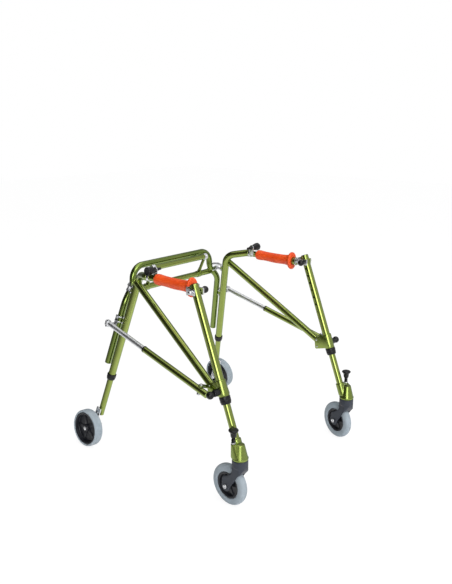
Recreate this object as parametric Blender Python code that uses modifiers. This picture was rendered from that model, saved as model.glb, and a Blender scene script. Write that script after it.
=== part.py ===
"""Four-wheeled reverse walker for a child, with two folding side frames.

Metres, +Z up.  The user stands at the centre and walks towards -Y; the rear
bow is at +Y.  X = 0 is the plane of symmetry, and +X is the user's left.
The floor is Z = 0.  Places are given for the left side, from the middle of the
wheelbase, and Side mirrors them; the last step centres the walker in Y.
"""

import math

import bmesh
import bpy
from mathutils import Matrix, Vector

UP = Vector((0, 0, 1))
OUTBOARD = Vector((1, 0, 0))
INBOARD = Vector((-1, 0, 0))
REAR = Vector((0, 1, 0))

# ------------------------------------------------- shared radii and lines
LEG_R = 0.0127            # front upright and rear leg
BOW_R = 0.0110

# Front upright and the front leg that slides in it; they slope forward downwards.
FRONT_TOP = Vector((0.2726, -0.1360, 0.6430))
FRONT_LOW = Vector((0.2745, -0.2630, 0.3090))
FRONT_DIR = (FRONT_LOW - FRONT_TOP).normalized()
FRONT_BORE_R = 0.0117     # bore that the front leg slides in
FRONT_LEG_END_Z = 0.1810

# Rear leg: splays outward and rearward on its way down.
REAR_REF = Vector((0.2250, 0.1920, 0.5240))
REAR_DIR = Vector((0.0700, 0.1120, -0.4180)).normalized()
LEG_UP = -REAR_DIR
REARWARD = (REAR - REAR_DIR * REAR_DIR.y).normalized()   # square to the rear leg
REAR_INNER_R = 0.0105     # telescoping lower rear leg
REAR_BORE_R = 0.0113
REAR_INNER_END_Z = 0.1060

# Hinge pins stand behind the rear leg, at the legs' heights below.
HINGES = {"upper": 0.5510, "lower": 0.4450}
HINGE_BACK = 0.0178
PIN_R = 0.0028

HANDLE_X = 0.2465
HANDLE_Z = 0.6215
HANDLE_R = 0.0105
HANDLE_FRONT_Y = -0.1195
STUB_END_Y = 0.0885       # front end of the rear leg's stub
STUB_GAP = 0.0003         # between the stub and the handle bar

WHEEL_R = 0.0635          # 5 inch wheels

# Folding strut, from its rear eye to its front end.
STRUT_REAR = Vector((0.2950, 0.2390, 0.4520))
STRUT_FRONT = Vector((0.3119, -0.2220, 0.3360))
STRUT_DIR = (STRUT_FRONT - STRUT_REAR).normalized()
STRUT_LENGTH = (STRUT_FRONT - STRUT_REAR).length
STRUT_R = 0.0103
# shares of the length from the rear eye: the pivot, and the outer tube's rear end
STRUT_PIVOT = STRUT_REAR + STRUT_DIR * (STRUT_LENGTH * 0.935)
STRUT_SPLIT = STRUT_REAR + STRUT_DIR * (STRUT_LENGTH * 0.405)

CENTRE_Y = 0.017648       # middle of the walker's floor box

PALETTE = {
    "green": dict(colour=(0.26, 0.36, 0.06), roughness=0.22, metallic=0.9),
    "silver": dict(colour=(0.72, 0.73, 0.74), roughness=0.22, metallic=1.0),
    "black": dict(colour=(0.015, 0.016, 0.018), roughness=0.45, metallic=0.0),
    "slate": dict(colour=(0.045, 0.052, 0.065), roughness=0.5, metallic=0.0),
    "tyre": dict(colour=(0.36, 0.42, 0.46), roughness=0.6, metallic=0.0),
    "orange": dict(colour=(0.90, 0.13, 0.03), roughness=0.5, metallic=0.0),
}

TUBE_BEVEL = 4            # bevel resolution of a tube's round section
WELD = 0.00001            # vertices closer than this are merged
SHARP_ANGLE = math.radians(40)

# ------------------------------------------------------------ scene set-up
for old in list(bpy.data.objects):
    bpy.data.objects.remove(old, do_unlink=True)


def collection(name):
    made = bpy.data.collections.new(name)
    bpy.context.scene.collection.children.link(made)
    return made


PARTS = collection("reverse_walker")
CUTTERS = collection("cutters")


# --------------------------------------------------------- points and paths
def mirrored(sign, point):
    """A left-side point, mirrored in X when the sign is -1."""
    return Vector((sign * point[0], point[1], point[2]))


def front_at(z):
    return FRONT_TOP + FRONT_DIR * ((z - FRONT_TOP.z) / FRONT_DIR.z)


def rear_at(z):
    return REAR_REF + REAR_DIR * ((z - REAR_REF.z) / REAR_DIR.z)


def front_span(*heights):
    return [front_at(z) for z in heights]


def rear_span(*heights):
    return [rear_at(z) for z in heights]


def handle_at(y):
    return Vector((HANDLE_X, y, HANDLE_Z))


def span(point, direction, low, high):
    """Two ends on a line, by their distances from a point on it."""
    return point + direction * low, point + direction * high


def hinge_pin_at(z):
    return rear_at(z) + REARWARD * HINGE_BACK


def corner_points(corner, before, after, radius, count):
    """Points of a rounded corner between two straight runs."""
    corner = Vector(corner)
    to_before = (Vector(before) - corner).normalized()
    to_after = (Vector(after) - corner).normalized()
    angle = to_before.angle(to_after)
    reach = radius / math.tan(angle / 2)
    centre = corner + (to_before + to_after).normalized() * (radius / math.sin(angle / 2))
    start = corner + to_before * reach - centre
    end = corner + to_after * reach - centre
    turn = start.angle(end)
    points = []
    for i in range(count + 1):
        t = i / count
        mix = start * math.sin((1 - t) * turn) + end * math.sin(t * turn)
        points.append(centre + mix / math.sin(turn))
    return points


def rounded(points, radii, count):
    """A path through points, each inner corner rounded to its radius."""
    path = [Vector(points[0])]
    for before, here, after, radius in zip(points, points[1:], points[2:], radii):
        path += corner_points(here, before, after, radius, count)
    path.append(Vector(points[-1]))
    return path


def circle_part(centre, radius, start, end, count):
    """Points on part of a circle, angles in degrees."""
    angles = [math.radians(start + (end - start) * i / count) for i in range(count + 1)]
    return [(centre[0] + radius * math.cos(a), centre[1] + radius * math.sin(a)) for a in angles]


def ball_profile(radius, height, sweep):
    """(radius, height) pairs of a ball, swept from its pole by some degrees."""
    return [(0, height + radius)] + circle_part((0, height), radius, 90, 90 - sweep, 8)[1:]


# ----------------------------------------------------------------- frames
def frame_of(origin, along, across):
    """A placement whose local Z is `along` and whose local X is near `across`."""
    z = Vector(along).normalized()
    y = z.cross(Vector(across)).normalized()
    x = y.cross(z)
    matrix = Matrix((x, y, z)).transposed().to_4x4()
    matrix.translation = origin
    return matrix


def frame_along(origin, along):
    """A placement on `along`, with local X near world X unless they are close."""
    near_x = abs(Vector(along).normalized().x) >= 0.9
    return frame_of(origin, along, (0, 1, 0) if near_x else (1, 0, 0))


def facing_x(x):
    """Takes an outline of (y, z) points to the plane at x."""
    return Matrix(((0, 0, 1, x), (1, 0, 0, 0), (0, 1, 0, 0), (0, 0, 0, 1)))


# ---------------------------------------------------------- mesh building
def material(name, colour, roughness, metallic):
    mat = bpy.data.materials.new(name)
    mat.use_nodes = True
    shader = mat.node_tree.nodes["Principled BSDF"]
    shader.inputs["Base Color"].default_value = (*colour, 1)
    shader.inputs["Roughness"].default_value = roughness
    shader.inputs["Metallic"].default_value = metallic
    return mat


def finish(obj, colour):
    """Its own material, smooth shading on the round faces."""
    obj.data.materials.clear()
    obj.data.materials.append(material(obj.name, **PALETTE[colour]))
    obj.data.shade_smooth()
    obj.data.set_sharp_from_angle(angle=SHARP_ANGLE)
    return obj


def outward(bm):
    """Faces turned to the outside of a closed mesh."""
    bm.normal_update()
    bmesh.ops.recalc_face_normals(bm, faces=bm.faces)
    if bm.calc_volume(signed=True) < 0:
        bmesh.ops.reverse_faces(bm, faces=bm.faces)


def link_mesh(name, mesh):
    obj = bpy.data.objects.new(name, mesh)
    PARTS.objects.link(obj)
    return obj


def new_mesh(name, bm):
    mesh = bpy.data.meshes.new(name)
    bm.to_mesh(mesh)
    bm.free()
    return link_mesh(name, mesh)


def evaluated_mesh(obj):
    graph = bpy.context.evaluated_depsgraph_get()
    return bpy.data.meshes.new_from_object(obj.evaluated_get(graph))


def close_mesh(mesh, weld=True):
    """Merges doubled vertices if asked, and turns the faces outward."""
    bm = bmesh.new()
    bm.from_mesh(mesh)
    if weld:
        bmesh.ops.remove_doubles(bm, verts=bm.verts, dist=WELD)
    outward(bm)
    bm.to_mesh(mesh)
    bm.free()


def meshed(name, curve):
    """The curve as a closed mesh object."""
    rail = bpy.data.objects.new(name + "_rail", curve)
    PARTS.objects.link(rail)
    mesh = evaluated_mesh(rail)
    close_mesh(mesh)
    obj = link_mesh(name, mesh)
    bpy.data.objects.remove(rail, do_unlink=True)
    return obj


def add_line(curve, points):
    spline = curve.splines.new("POLY")
    spline.points.add(len(points) - 1)
    for slot, point in zip(spline.points, points):
        slot.co = (*point, 1)
    return spline


def tube(name, points, radius):
    """A solid round bar along a line of points."""
    curve = bpy.data.curves.new(name, "CURVE")
    curve.dimensions = "3D"
    curve.bevel_depth = radius
    curve.bevel_resolution = TUBE_BEVEL
    curve.use_fill_caps = True
    add_line(curve, points)
    return meshed(name, curve)


def plate(name, outline, thickness, matrix):
    """A flat outline in local X and Y, half the thickness each way along local Z."""
    curve = bpy.data.curves.new(name, "CURVE")
    curve.dimensions = "2D"
    curve.fill_mode = "BOTH"
    curve.extrude = thickness / 2
    add_line(curve, [(x, y, 0) for x, y in outline]).use_cyclic_u = True
    obj = meshed(name, curve)
    obj.data.transform(matrix)
    # a mirroring matrix turns the faces inside out
    close_mesh(obj.data, weld=False)
    return obj


def turned(name, profile, origin, along, steps=20):
    """A profile of (radius, height) pairs turned about `along` at `origin`.

    A profile that starts on the axis ends on it; any other is closed to a ring.
    """
    bm = bmesh.new()
    verts = [bm.verts.new((radius, 0, height)) for radius, height in profile]
    pairs = list(zip(verts, verts[1:]))
    if profile[0][0] > 0:
        pairs.append((verts[-1], verts[0]))
    for pair in pairs:
        bm.edges.new(pair)
    outline = new_mesh(name + "_profile", bm)
    screw = outline.modifiers.new("turn", "SCREW")
    screw.axis = "Z"
    screw.angle = math.tau
    screw.steps = steps
    screw.render_steps = steps
    screw.use_merge_vertices = True
    screw.merge_threshold = WELD
    mesh = evaluated_mesh(outline)
    mesh.transform(frame_along(origin, along))
    close_mesh(mesh)
    obj = link_mesh(name, mesh)
    bpy.data.objects.remove(outline, do_unlink=True)
    return obj


def rod(name, ends, radius, sides=12):
    """A plain cylinder between two ends."""
    start, end = ends
    bm = bmesh.new()
    bmesh.ops.create_cone(
        bm,
        cap_ends=True,
        segments=sides,
        radius1=radius,
        radius2=radius,
        depth=(end - start).length,
    )
    bm.transform(frame_along((start + end) / 2, end - start))
    outward(bm)
    return new_mesh(name, bm)


def block(name, low, high, matrix=None):
    """A box between two corners, placed by a matrix."""
    low, high = Vector(low), Vector(high)
    size = [abs(v) for v in high - low]
    bm = bmesh.new()
    bmesh.ops.create_cube(bm, size=1)
    bm.transform(Matrix.Translation((low + high) / 2) @ Matrix.Diagonal((*size, 1)))
    if matrix is not None:
        bm.transform(matrix)
    outward(bm)
    return new_mesh(name, bm)


# --------------------------------------------------------------- booleans
def boolean(obj, other, operation):
    """A live boolean; the other object becomes a hidden helper."""
    mod = obj.modifiers.new(operation.lower(), "BOOLEAN")
    mod.operation = operation
    mod.object = other
    PARTS.objects.unlink(other)
    CUTTERS.objects.link(other)
    other.hide_render = True
    other.display_type = "WIRE"


def join(obj, *others):
    for other in others:
        boolean(obj, other, "UNION")


def cut(obj, *others):
    for other in others:
        boolean(obj, other, "DIFFERENCE")


# ------------------------------------------------------------------- axes
def world_place(empty):
    place = Vector(empty.location)
    above = empty.parent
    while above is not None:
        place += Vector(above.location)
        above = above.parent
    return place


def axis(name, place, parent, *carried):
    """An empty at a world place, under its parent axis, carrying objects that stay put."""
    empty = bpy.data.objects.new(name, None)
    empty.empty_display_size = 0.03
    empty.location = place
    if parent is not None:
        empty.location = place - world_place(parent)
        empty.parent = parent
    PARTS.objects.link(empty)
    for obj in carried:
        obj.parent = empty
        obj.matrix_parent_inverse = Matrix.Translation(-world_place(empty))
    return empty


# ------------------------------------------------------------------ sides
class Side:
    """Names and mirrors what is given for the left side."""

    def __init__(self, tag, sign, swivel):
        self.tag = tag
        self.sign = sign
        self.swivel = swivel      # caster's turn about +Z

    def name(self, text):
        return self.tag + "_" + text

    def at(self, point):
        return mirrored(self.sign, point)

    def frame(self, origin, along, across):
        """Right-handed on both sides, so its local Y runs the other way on the right."""
        return frame_of(self.at(origin), self.at(along), self.at(across))

    def outboard(self, points):
        """Points in a hinge frame, from points whose y is measured outboard."""
        return [(x, -self.sign * y, *rest) for x, y, *rest in points]

    def tube(self, text, points, radius):
        return tube(self.name(text), [self.at(p) for p in points], radius)

    def rod(self, text, ends, radius, sides=12):
        return rod(self.name(text), [self.at(p) for p in ends], radius, sides)

    def turned(self, text, profile, origin, along, steps=20):
        return turned(self.name(text), profile, self.at(origin), self.at(along), steps)

    def block(self, text, low, high):
        return block(self.name(text), self.at(low), self.at(high))

    def plate(self, text, outline, thickness, matrix):
        return plate(self.name(text), outline, thickness, matrix)


SIDES = (
    Side("right", -1, math.radians(-3.0)),
    Side("left", 1, math.radians(-16.0)),
)

# --------------------------------------------------------------- rear bow
BOW_BACK = 0.0340         # bow leg behind the rear leg's centre
BOW_TOP = Vector((0.1840, 0.2350, 0.6220))
BOW_NECK = Vector((0.1880, 0.2345, 0.5600))
BOW_FLARE = rear_at(0.5060) + REARWARD * BOW_BACK
BOW_END = rear_at(0.2830) + REARWARD * BOW_BACK
BOW_HALF = rounded(
    [Vector((0.05, BOW_TOP.y, BOW_TOP.z)), BOW_TOP, BOW_NECK, BOW_FLARE, BOW_END],
    [0.044, 0.040, 0.060],
    5,
)
BOW_SIDE = BOW_HALF[6:]   # from the end of the top corner
BOW_LEG = BOW_HALF[7:]    # from the start of the neck's bend

CROSS_Y = 0.2350
CROSS_Z = 0.5424
CROSSBAR_R = 0.0105
CROSS_HALF = 0.1985 - BOW_R - 0.0010   # the ends stop short of the bow's legs

BACK_BAR_Y = 0.2000
BACK_BAR_Z = 0.6130
BACK_BAR_R = 0.0095
BACK_BAR_HALF = 0.122
POST_X = 0.1262
# (radius, height)
BACK_BAR_RING = [
    (0, 0.0075), (0.0098, 0.0075), (0.0118, 0.0060),
    (0.0118, -0.0060), (0.0098, -0.0075), (0, -0.0075),
]


def rear_bow():
    path = [mirrored(-1, p) for p in reversed(BOW_HALF)] + BOW_HALF
    finish(tube("rear_bow_tube", path, BOW_R), "green")


def lower_crossbar():
    ends = [(-CROSS_HALF, CROSS_Y, CROSS_Z), (CROSS_HALF, CROSS_Y, CROSS_Z)]
    bar = tube("lower_crossbar_tube", ends, CROSSBAR_R)
    for side in SIDES:
        cut(bar, tube("cope_" + side.tag, [side.at(p) for p in BOW_SIDE], BOW_R + 0.0008))
    finish(bar, "green")


def back_bar():
    """A bar in front of the bow, with a ring at each end on a post from the crossbar."""
    ends = [(x, BACK_BAR_Y, BACK_BAR_Z) for x in (-BACK_BAR_HALF, BACK_BAR_HALF)]
    bar = tube("back_bar", ends, BACK_BAR_R)
    for side in SIDES:
        top = side.at((POST_X, BACK_BAR_Y, BACK_BAR_Z))
        foot = side.at((POST_X, CROSS_Y, CROSS_Z))
        reach = (foot - top).length - CROSSBAR_R - 0.0006
        ring = turned("back_bar_ring_" + side.tag, BACK_BAR_RING, top, (1, 0, 0), 16)
        post = block(
            "back_bar_post_" + side.tag,
            (-0.0024, -0.0060, 0.0),
            (0.0024, 0.0060, reach),
            frame_of(top, foot - top, (1, 0, 0)),
        )
        join(bar, ring, post)
    finish(bar, "green")


# --------------------------------------------------------- hinge brackets
# In a hinge frame x runs rearward from the pin, y outboard and z up the pin.
EAR_R = 0.0046            # nose round the pin, clear of the rear leg
EAR_THICK = 0.0034
EAR_HEIGHT = 0.0086       # ears' centres above and below the middle of the pin
EAR_NOSE = circle_part((0, 0), EAR_R, 90, 270, 6)
# (x, y) of each ear
EARS = {
    "upper": EAR_NOSE + [
        (0.0060, -0.0050), (0.0100, -0.0085), (0.0135, -0.0190), (0.0175, -0.0320),
        (0.0310, -0.0270), (0.0345, -0.0100), (0.0220, 0.0046),
    ],
    "lower": EAR_NOSE + [
        (0.0060, -EAR_R), (0.0120, -0.0040), (0.0170, 0.0010), (0.0240, 0.0125),
        (0.0240, 0.0165), (0.0080, 0.0165), (0.0005, 0.0080),
    ],
}
STRUT_ARM_DROP = 0.0113   # strut arm's centre below the strut's rear eye
STRUT_ARM_R = 0.0072
STRUT_ARM_THICK = 0.0040


def hinge_frame(side, z):
    return side.frame(hinge_pin_at(z), LEG_UP, REARWARD)


def upper_web(side, frame):
    """Block between the upper ears."""
    corners = side.outboard([(0.0190, -0.0130, -0.0080), (0.0255, -0.0020, 0.0080)])
    return [block(side.name("upper_web"), *corners, frame)]


def lower_saddle(side, frame):
    """Saddle running down to an arm under the strut's rear eye."""
    foot = frame.inverted() @ side.at(STRUT_REAR - LEG_UP * STRUT_ARM_DROP)
    ((foot_x, foot_y),) = side.outboard([(foot.x, foot.y)])
    corners = side.outboard([(0.0105, 0.0126, foot.z - 0.0014), (0.0235, 0.0158, 0.0094)])
    arm = circle_part((foot_x, foot_y), STRUT_ARM_R, 180, 0, 8)
    arm += [(0.0245, 0.0134), (0.0095, 0.0134)]
    raised = frame @ Matrix.Translation((0, 0, foot.z))
    return [
        block(side.name("lower_saddle"), *corners, frame),
        side.plate("strut_arm", side.outboard(arm), STRUT_ARM_THICK, raised),
    ]


def hinge_bracket(side, which, z):
    """Two ears and a pin, fixed to the bow's leg."""
    pin = hinge_pin_at(z)
    frame = hinge_frame(side, z)
    bracket = side.rod(which + "_hinge_bracket", span(pin, LEG_UP, -0.0125, 0.0125), PIN_R, 10)
    for place, height in (("top", EAR_HEIGHT), ("base", -EAR_HEIGHT)):
        raised = frame @ Matrix.Translation((0, 0, height))
        ear = side.outboard(EARS[which])
        join(bracket, side.plate(which + "_ear_" + place, ear, EAR_THICK, raised))
    join(bracket, *(upper_web if which == "upper" else lower_saddle)(side, frame))
    end_r = EAR_R - 0.0004
    join(
        bracket,
        side.rod(which + "_pin_head", span(pin, LEG_UP, 0.0098, 0.0132), end_r, 8),
        side.rod(which + "_pin_nut", span(pin, LEG_UP, -0.0132, -0.0098), end_r, 6),
    )
    cut(bracket, side.tube(which + "_bow_clear", BOW_LEG, BOW_R + 0.0009))
    finish(bracket, "silver")


# --------------------------------------------------------------- rear leg
REAR_TUBE_END_Z = 0.2600
REAR_PATH = rounded(
    [rear_at(REAR_TUBE_END_Z), rear_at(0.6080), handle_at(0.1000), handle_at(STUB_END_Y)],
    [0.040, 0.020],
    6,
)
REAR_PATH_LOWER = REAR_PATH[:8]        # the straight run and the first bend
BRACE_R = 0.0118
BRACE_ENDS = [Vector((0.2212, 0.1720, 0.5838)), Vector((0.2744, -0.2168, 0.3405))]


def rear_leg(side):
    """Straight, then bent forward into a short stub; two knuckles turn on the hinge pins."""
    leg = side.tube("rear_leg_tube", REAR_PATH, LEG_R)
    for which, z in HINGES.items():
        pin = hinge_pin_at(z)
        knuckle = side.rod(which + "_knuckle", span(pin, LEG_UP, -0.0064, 0.0064), 0.0048, 10)
        lug = block(
            side.name(which + "_lug"),
            (-HINGE_BACK, -0.0030, -0.0060),
            (-0.0010, 0.0030, 0.0060),
            hinge_frame(side, z),
        )
        hole_ends = span(pin, LEG_UP, -0.0150, 0.0150)
        join(leg, knuckle, lug)
        cut(leg, side.rod(which + "_pin_hole", hole_ends, PIN_R + 0.0006, 10))
    cut(leg, side.tube("rear_bore", rear_span(REAR_TUBE_END_Z - 0.02, 0.4350), REAR_BORE_R))
    return finish(leg, "green")


def rear_leg_inner(side):
    inner = side.tube("rear_leg_inner_tube", rear_span(REAR_INNER_END_Z, 0.3700), REAR_INNER_R)
    return finish(inner, "green")


def diagonal_brace(side):
    """From the rear leg's bend down to the gusset."""
    brace = side.tube("diagonal_brace", BRACE_ENDS, BRACE_R)
    cut(brace, side.tube("brace_cope", REAR_PATH_LOWER, LEG_R + 0.0010))
    return finish(brace, "green")


# --------------------------------------------------------------- bushings
def bushing(side, which, ends, radius, up, taper, bore_ends, bore_r):
    """A collar at a tube's lower end, tapered towards its foot.

    The taper gives its radius at the foot, its radius at the top, the cutter's
    outer radius and the taper's height.
    """
    foot_r, top_r, cutter_r, height = taper
    below = -0.004
    profile = [
        (foot_r, 0.0), (top_r, height), (cutter_r, height), (cutter_r, below), (foot_r, below)
    ]
    collar = side.tube(which + "_leg_bushing", ends, radius)
    cut(
        collar,
        side.turned(which + "_bushing_taper", profile, ends[0], up, 16),
        side.tube(which + "_bushing_bore", bore_ends, bore_r),
    )
    return finish(collar, "black")


def rear_bushing(side):
    return bushing(
        side,
        "rear",
        ends=rear_span(0.2400, 0.2597),
        radius=0.0155,
        up=LEG_UP,
        taper=(0.0135, 0.0158, 0.0200, 0.0060),
        bore_ends=rear_span(0.2300, 0.2700),
        bore_r=REAR_BORE_R,
    )


def front_bushing(side):
    return bushing(
        side,
        "front",
        ends=front_span(0.3090, 0.3305),
        radius=0.0168,
        up=-FRONT_DIR,
        taper=(0.0150, 0.0172, 0.0220, 0.0100),
        bore_ends=front_span(0.2900, 0.3500),
        bore_r=FRONT_BORE_R,
    )


# --------------------------------------------------- front upright and leg
UPRIGHT_END_Z = 0.3310
FRONT_INNER_R = 0.0110
FRONT_INNER_TOP_Z = 0.4600
HOLE_FIRST = 0.0230       # first hole, along the tube from its top
HOLE_PITCH = 0.0254
HOLE_R = 0.0034
HOLE_COUNT = 9


def front_upright(side):
    """Bored from below, with setting holes on its inner face."""
    upright = side.tube("front_upright_tube", [FRONT_TOP, front_at(UPRIGHT_END_Z)], LEG_R)
    cut(upright, side.tube("upright_bore", front_span(0.3000, 0.5050), FRONT_BORE_R))
    for i in range(HOLE_COUNT):
        centre = FRONT_TOP + FRONT_DIR * (HOLE_FIRST + HOLE_PITCH * i)
        cut(upright, side.rod("hole_%d" % i, span(centre, INBOARD, 0.0070, 0.02), HOLE_R, 8))
    return finish(upright, "green")


def front_leg(side):
    ends = front_span(FRONT_INNER_TOP_Z, FRONT_LEG_END_Z)
    return finish(side.tube("front_leg_tube", ends, FRONT_INNER_R), "green")


# ----------------------------------------------------------------- gusset
SLEEVE_Z = (0.3310, 0.3760)
SLEEVE_R = 0.0160
CHEEK_THICK = 0.0025
BRACE_X = 0.2735          # the cheeks stand either side of this
CHEEK_X = {"inner": BRACE_X - 0.0150, "outer": BRACE_X + 0.01435}
# (y, z)
CHEEK = [
    (-0.2620, 0.3350), (-0.2090, 0.3205), (-0.2045, 0.3225),
    (-0.1998, 0.3590), (-0.2030, 0.3620), (-0.2430, 0.3745),
]
EAR_REACH = STRUT_PIVOT.x - CHEEK_X["outer"]
# (x inboard from the strut's pivot, y forward)
STRUT_EAR = circle_part((0, 0), 0.0085, 90, 270, 6) + [
    (EAR_REACH * 0.55, -0.0040), (EAR_REACH + 0.0006, 0.0030),
    (EAR_REACH + 0.0006, 0.0240), (EAR_REACH * 0.55, 0.0160),
]


def gusset(side):
    """A sleeve on the upright, two cheeks round the brace, an ear and pin for the strut."""
    sleeve = side.tube("gusset_bracket", front_span(*SLEEVE_Z), SLEEVE_R)
    for place, x in CHEEK_X.items():
        join(sleeve, side.plate("cheek_" + place, CHEEK, CHEEK_THICK, facing_x(side.sign * x)))
    above_strut = Matrix.Translation((0, 0, STRUT_R + 0.0026))
    ear_frame = side.frame(STRUT_PIVOT, LEG_UP, INBOARD) @ above_strut
    ear = [(x, side.sign * y) for x, y in STRUT_EAR]
    join(
        sleeve,
        side.plate("strut_ear", ear, 0.0034, ear_frame),
        side.rod("strut_pin", span(STRUT_PIVOT, LEG_UP, -0.0150, 0.0170), 0.0030, 10),
        side.rod("strut_pin_head", span(STRUT_PIVOT, LEG_UP, 0.0138, 0.0182), 0.0056, 8),
        side.rod("strut_pin_nut", span(STRUT_PIVOT, LEG_UP, -0.0166, -0.0118), 0.0056, 6),
    )
    cut(sleeve, side.tube("sleeve_bore", front_span(0.3000, 0.4200), LEG_R + 0.0009))
    return finish(sleeve, "green")


# --------------------------------------- spring knob that locks the front leg
LOCK_YZ = (-0.2452, 0.3455)
LOCK_FACE = Vector((0.2908, *LOCK_YZ))
# (radius, height outboard of the face)
LOCK_BARREL = [
    (0, 0.0195), (0.0078, 0.0195), (0.0102, 0.0170), (0.0105, 0.0030), (0.0105, 0.0), (0, 0.0),
]
LOCK_KNOB = ball_profile(0.0115, 0.0330, 150) + [
    (0.0055, 0.0222), (0.0055, 0.0202), (0.0034, 0.0199), (0.0034, 0.0030), (0, 0.0030),
]


def leg_lock_barrel(side):
    barrel = side.turned("leg_lock_barrel", LOCK_BARREL, LOCK_FACE, OUTBOARD, 16)
    bore_ends = [Vector((x, *LOCK_YZ)) for x in (0.2850, 0.3200)]
    cut(
        barrel,
        side.rod("barrel_bore", bore_ends, 0.0040, 10),
        # the barrel's seat is clear of the sleeve
        side.tube("barrel_seat", front_span(0.3250, 0.3850), SLEEVE_R + 0.0003),
    )
    return finish(barrel, "black")


def leg_lock_knob(side):
    return finish(side.turned("leg_lock_knob", LOCK_KNOB, LOCK_FACE, OUTBOARD, 16), "black")


# ------------------------------------------------- handle bar, knob and grip
LUG_X = (HANDLE_X - 0.0135, HANDLE_X - HANDLE_R)   # lug on the bar's inner face
LUG_R = 0.0095
KNOB_Y = 0.0690
KNOB_Z = 0.6460
KNOB_FACE = Vector((LUG_X[1], KNOB_Y, KNOB_Z))
# (radius, height outboard of the lug)
CORNER_KNOB = [
    (0, 0.0350), (0.0115, 0.0345), (0.0140, 0.0310), (0.0140, 0.0270), (0.0105, 0.0120),
    (0.0078, 0.0006), (0.0046, 0.0004), (0.0046, -0.0036), (0.0062, -0.0038),
    (0.0062, -0.0100), (0.0045, -0.0130), (0.0040, -0.0240), (0, -0.0240),
]
GRIP_REAR_Y = 0.0500
# (radius, distance forward of the grip's rear end)
GRIP = [
    (0, 0), (0.0145, 0), (0.0170, 0.0040), (0.0176, 0.0120), (0.0166, 0.0260),
    (0.0157, 0.0500), (0.0155, 0.0800), (0.0160, 0.1120), (0.0170, 0.1320),
    (0.0182, 0.1440), (0.0182, 0.1540), (0.0150, 0.1572), (0, 0.1572),
]
GUARD_FORWARD = 0.1520    # finger guard's centre, forward of the grip's rear end
GUARD_THICK = 0.0080
# (x, z): a unit circle set slightly low, stretched to an oval
GUARD = [(0.0220 * x, 0.0300 * z) for x, z in circle_part((0, -0.0005), 1.0, 0, 345, 23)]


def handle_bar(side):
    """The bar, with an upright lug and its foot near the rear end."""
    ends = [handle_at(STUB_END_Y - STUB_GAP), handle_at(HANDLE_FRONT_Y)]
    bar = side.tube("handle_bar", ends, HANDLE_R)
    # (y, z)
    lug = circle_part((KNOB_Y, KNOB_Z), LUG_R, 0, 180, 8)
    lug += [(KNOB_Y - LUG_R, 0.6180), (KNOB_Y + LUG_R, 0.6180)]
    lug_frame = facing_x(side.sign * (LUG_X[0] + LUG_X[1]) / 2)
    join(
        bar,
        side.plate("knob_lug", lug, 0.0030, lug_frame),
        side.block(
            "knob_foot",
            (LUG_X[0] + 0.0015, KNOB_Y - 0.0080, 0.6185),
            (LUG_X[0] + 0.0045, KNOB_Y + 0.0080, 0.6265),
        ),
    )
    hole_ends = [Vector((x, KNOB_Y, KNOB_Z)) for x in (LUG_X[0] - 0.01, LUG_X[1] + 0.01)]
    cut(bar, side.rod("knob_hole", hole_ends, 0.0052, 10))
    return finish(bar, "green")


def corner_knob(side):
    return finish(side.turned("rear_corner_knob", CORNER_KNOB, KNOB_FACE, OUTBOARD, 18), "black")


def handle_grip(side):
    """The grip, with an oval finger guard near its front end."""
    profile = [(radius, -forward) for radius, forward in GRIP]
    grip = side.turned("handle_grip", profile, handle_at(GRIP_REAR_Y), REAR, 18)
    guard_frame = Matrix((
        (1, 0, 0, side.sign * HANDLE_X),
        (0, 0, 1, GRIP_REAR_Y - GUARD_FORWARD),
        (0, 1, 0, HANDLE_Z),
        (0, 0, 0, 1),
    ))
    join(grip, side.plate("finger_guard", GUARD, GUARD_THICK, guard_frame))
    cut(grip, side.tube("grip_bore", [handle_at(0.07), handle_at(-0.12)], 0.0111))
    return finish(grip, "orange")


# ---------------------------------------------------- handle clamp and knob
CLAMP_OUTER_X = 0.2889
CLAMP_PIN_YZ = (-0.1470, 0.6212)
HANDLE_KNOB_AT = Vector((0.2536, *CLAMP_PIN_YZ))
# (radius, height outboard of the outer ear)
CLAMP_NUT = [
    (0, 0.0130), (0.0030, 0.0122), (0.0056, 0.0098), (0.0066, 0.0060),
    (0.0066, 0.0040), (0.0080, 0.0036), (0.0080, -0.0012), (0, -0.0012),
]
# (radius, height inboard)
HANDLE_KNOB = ball_profile(0.0096, 0.0140, 145) + [
    (0.0050, 0.0050), (0.0050, 0.0004), (0.0029, 0.0004), (0.0029, -0.0052), (0, -0.0052),
]
# low and high corners
CLAMP_BLOCKS = {
    "clamp_web": ((0.2365, -0.1246, 0.6095), (CLAMP_OUTER_X, -0.1200, 0.6335)),
    "clamp_inner_ear": ((0.2538, -0.1590, 0.6115), (0.2592, -0.1210, 0.6315)),
    "clamp_outer_ear": ((0.2861, -0.1540, 0.6125), (CLAMP_OUTER_X, -0.1210, 0.6305)),
}


def handle_clamp(side):
    """A collar on the bar's front end, and a web with two ears running forward."""
    clamp = side.rod("handle_clamp", [handle_at(-0.1080), handle_at(-0.1225)], 0.0134, 16)
    for text, (low, high) in CLAMP_BLOCKS.items():
        join(clamp, side.block(text, low, high))
    nut_at = (CLAMP_OUTER_X, -0.1430, 0.6212)
    join(clamp, side.turned("clamp_nut", CLAMP_NUT, nut_at, OUTBOARD, 14))
    bore_ends = [handle_at(-0.09), handle_at(HANDLE_FRONT_Y - 0.0006)]
    hole_ends = [Vector((x, *CLAMP_PIN_YZ)) for x in (0.2480, 0.2640)]
    cut(
        clamp,
        side.tube("clamp_bore", bore_ends, 0.0110),
        side.rod("clamp_pin_hole", hole_ends, 0.0036, 10),
    )
    return finish(clamp, "silver")


def handle_lock_knob(side):
    knob = side.turned("handle_lock_knob", HANDLE_KNOB, HANDLE_KNOB_AT, INBOARD, 16)
    return finish(knob, "black")


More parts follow.
